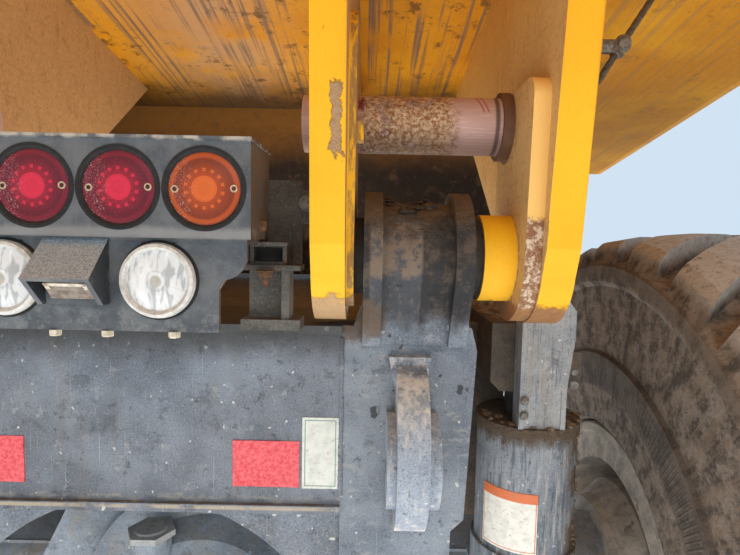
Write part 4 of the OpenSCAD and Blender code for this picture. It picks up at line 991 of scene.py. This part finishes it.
crust("eye_clods", spots, simple("eye_mud", (62, 48, 36), (96, 76, 56), 0.012, 0.95, 0.004),
      "frame", 5)
# Mud on the outrigger's top; its tall front heap also fills a gap where the view beyond is in
# shade, as a dark stand-in for that shade.
outrigger_top = edge("strut_outrigger_right", HIGH, "z")
spots = [((rng.uniform(0.655, 0.79), rng.uniform(-1.06, -1.02),
           outrigger_top + rng.uniform(0, 0.004)), rng.uniform(0.020, 0.032)) for k in range(40)]
spots += [((rng.uniform(0.65, 0.79), rng.uniform(-1.36, -1.05), outrigger_top),
           rng.uniform(0.004, 0.012)) for k in range(60)]
crust("outrigger_mud_and_shade", spots,
      simple("outrigger_mud_and_shade", (96, 78, 60), (150, 128, 102), 0.02, 0.95, 0.004), "frame", 9)


def weld(mesh, x, low, high, radius, seed):
    """Adds a rippled weld bead that runs up the tail's face."""
    sides, pitch = 8, 0.004
    start, end = Vector((x, TAIL_FACE, low)), Vector((x, TAIL_FACE, high))
    along = (end - start).normalized()
    across = along.orthogonal().normalized()
    other = along.cross(across)
    count = max(4, int((end - start).length / pitch))
    rows = []
    for i in range(count + 1):
        middle = start.lerp(end, i / count)
        lump = lump_noise(middle * 40 + Vector((seed, 0, 0)))
        swell = radius * (1 + 0.16 * math.sin(i * 1.9) + 0.3 * lump)
        turns = [math.tau * k / sides for k in range(sides)]
        rows.append([mesh.verts.new(middle + swell * (math.cos(a) * across
                                                      + math.sin(a) * other)) for a in turns])
    skin(mesh, rows)


# Up both ends of the tail panel, and up both sides of each tow lug
beads = bmesh.new()
weld_foot = PANEL_TOP - 0.306
for side in (-1, 1):
    weld(beads, side * PANEL_HALF, weld_foot + 0.02, PANEL_TOP - 0.02, 0.004, side)
    for x in (0.431, 0.479):
        weld(beads, side * x, weld_foot, weld_foot + 0.20, 0.006, x)
piece("frame_welds", beads, own_paint["tail_crossmember"], "frame", "frame_paint")


# A taut cable from the outer right ear to the body's floor, with its clamp on the ear
cable = bmesh.new()
CABLE_R = 0.0045
run = [Vector(spot) for spot in (
    (EAR_OUT - 0.004, -1.706, 0.512), (0.700, -1.703, 0.534), (0.730, -1.696, 0.582),
    (0.790, -1.655, 0.664), (0.880, -1.586, 0.786), (0.940, -1.540, 0.868))]
for start, end in zip(run, run[1:]):
    steps = 5
    for k in range(steps):
        foot = start.lerp(end, k / steps)
        length = (end - start).length / steps
        turned(cable, [(CABLE_R, 0), (CABLE_R * 1.12, length * 0.5), (CABLE_R, length * 1.02)],
               foot, end - start, 12)
piece("body_cable", cable, simple("cable_dark", (64, 54, 46), (96, 82, 66), 0.006, 0.8),
      "dump_body", "pad_rubber")
clamp = bmesh.new()
pinch = run[2]
for shift in (-0.011, 0.011):
    turned(clamp, [(0.009, 0), (0.011, 0.003), (0.011, 0.006), (0.009, 0.009)],
           pinch + (run[3] - pinch).normalized() * (shift - 0.004), run[3] - pinch, 16)
turned(clamp, [(0.012, 0), (0.010, 0.012), (0.010, pinch.x - EAR_OUT + 0.004)],
       (EAR_OUT - 0.004, pinch.y, pinch.z), (1, 0, 0), 12)
bolt(clamp, (pinch.x, pinch.y - 0.008, pinch.z), TAILWARD, 0.010)
piece("cable_clamp", clamp, simple("clamp_grey", (128, 118, 104), (84, 72, 60), 0.006, 0.7),
      "dump_body", "rod_steel")


def stage_floor():
    bpy.ops.mesh.primitive_plane_add(size=60, location=(0, 0, GROUND - 0.001))
    ground = bpy.context.object
    ground.name = "floor"
    p = Paint("floor_grey")
    p.color = (214, 208, 200)
    ground.data.materials.append(p.finish(0.95))


def camera():
    data = bpy.data.cameras.new("camera")
    data.sensor_width = SENSOR
    data.lens = FOCAL_PX / PHOTO_W * SENSOR
    data.clip_start = 0.01
    cam = bpy.data.objects.new("camera", data)
    bpy.context.scene.collection.objects.link(cam)
    turn = Matrix.Rotation(CAMERA_PITCH, 4, "X") @ Matrix.Rotation(CAMERA_ROLL, 4, "Y")
    cam.matrix_world = Matrix.Translation(CAMERA) @ turn @ Matrix.Rotation(math.pi / 2, 4, "X")
    bpy.context.scene.camera = cam


def area(name, place, target, size, power, tint=(255, 255, 255)):
    data = bpy.data.lights.new(name, "AREA")
    data.shape = "DISK"
    data.size = size
    data.energy = power
    data.color = linear(*tint)[:3]
    lamp = bpy.data.objects.new(name, data)
    bpy.context.scene.collection.objects.link(lamp)
    aim = Vector(target) - Vector(place)
    lamp.location = place
    lamp.rotation_euler = aim.to_track_quat("-Z", "Y").to_euler()
    lamp.visible_camera = False


def lights():
    world = bpy.data.worlds.new("world")
    world.use_nodes = True
    bpy.context.scene.world = world
    world.node_tree.nodes["Background"].inputs["Color"].default_value = linear(210, 228, 243)
    world.node_tree.nodes["Background"].inputs["Strength"].default_value = 1.0
    area("sky_behind", (1.6, -7, 4.0), (0.4, -1.5, 0.2), 5, 150)
    area("ground_glow", (0.4, -2.2, GROUND + 0.05), (0.4, -2.2, 1), 8, 260, (252, 252, 254))
    area("under_body", (0.15, -1.15, PANEL_TOP + 0.06), (0.15, -1.25, 1), 0.9, 4, (255, 246, 232))
    bpy.context.scene.view_settings.view_transform = "Standard"


stage_floor()
camera()
lights()
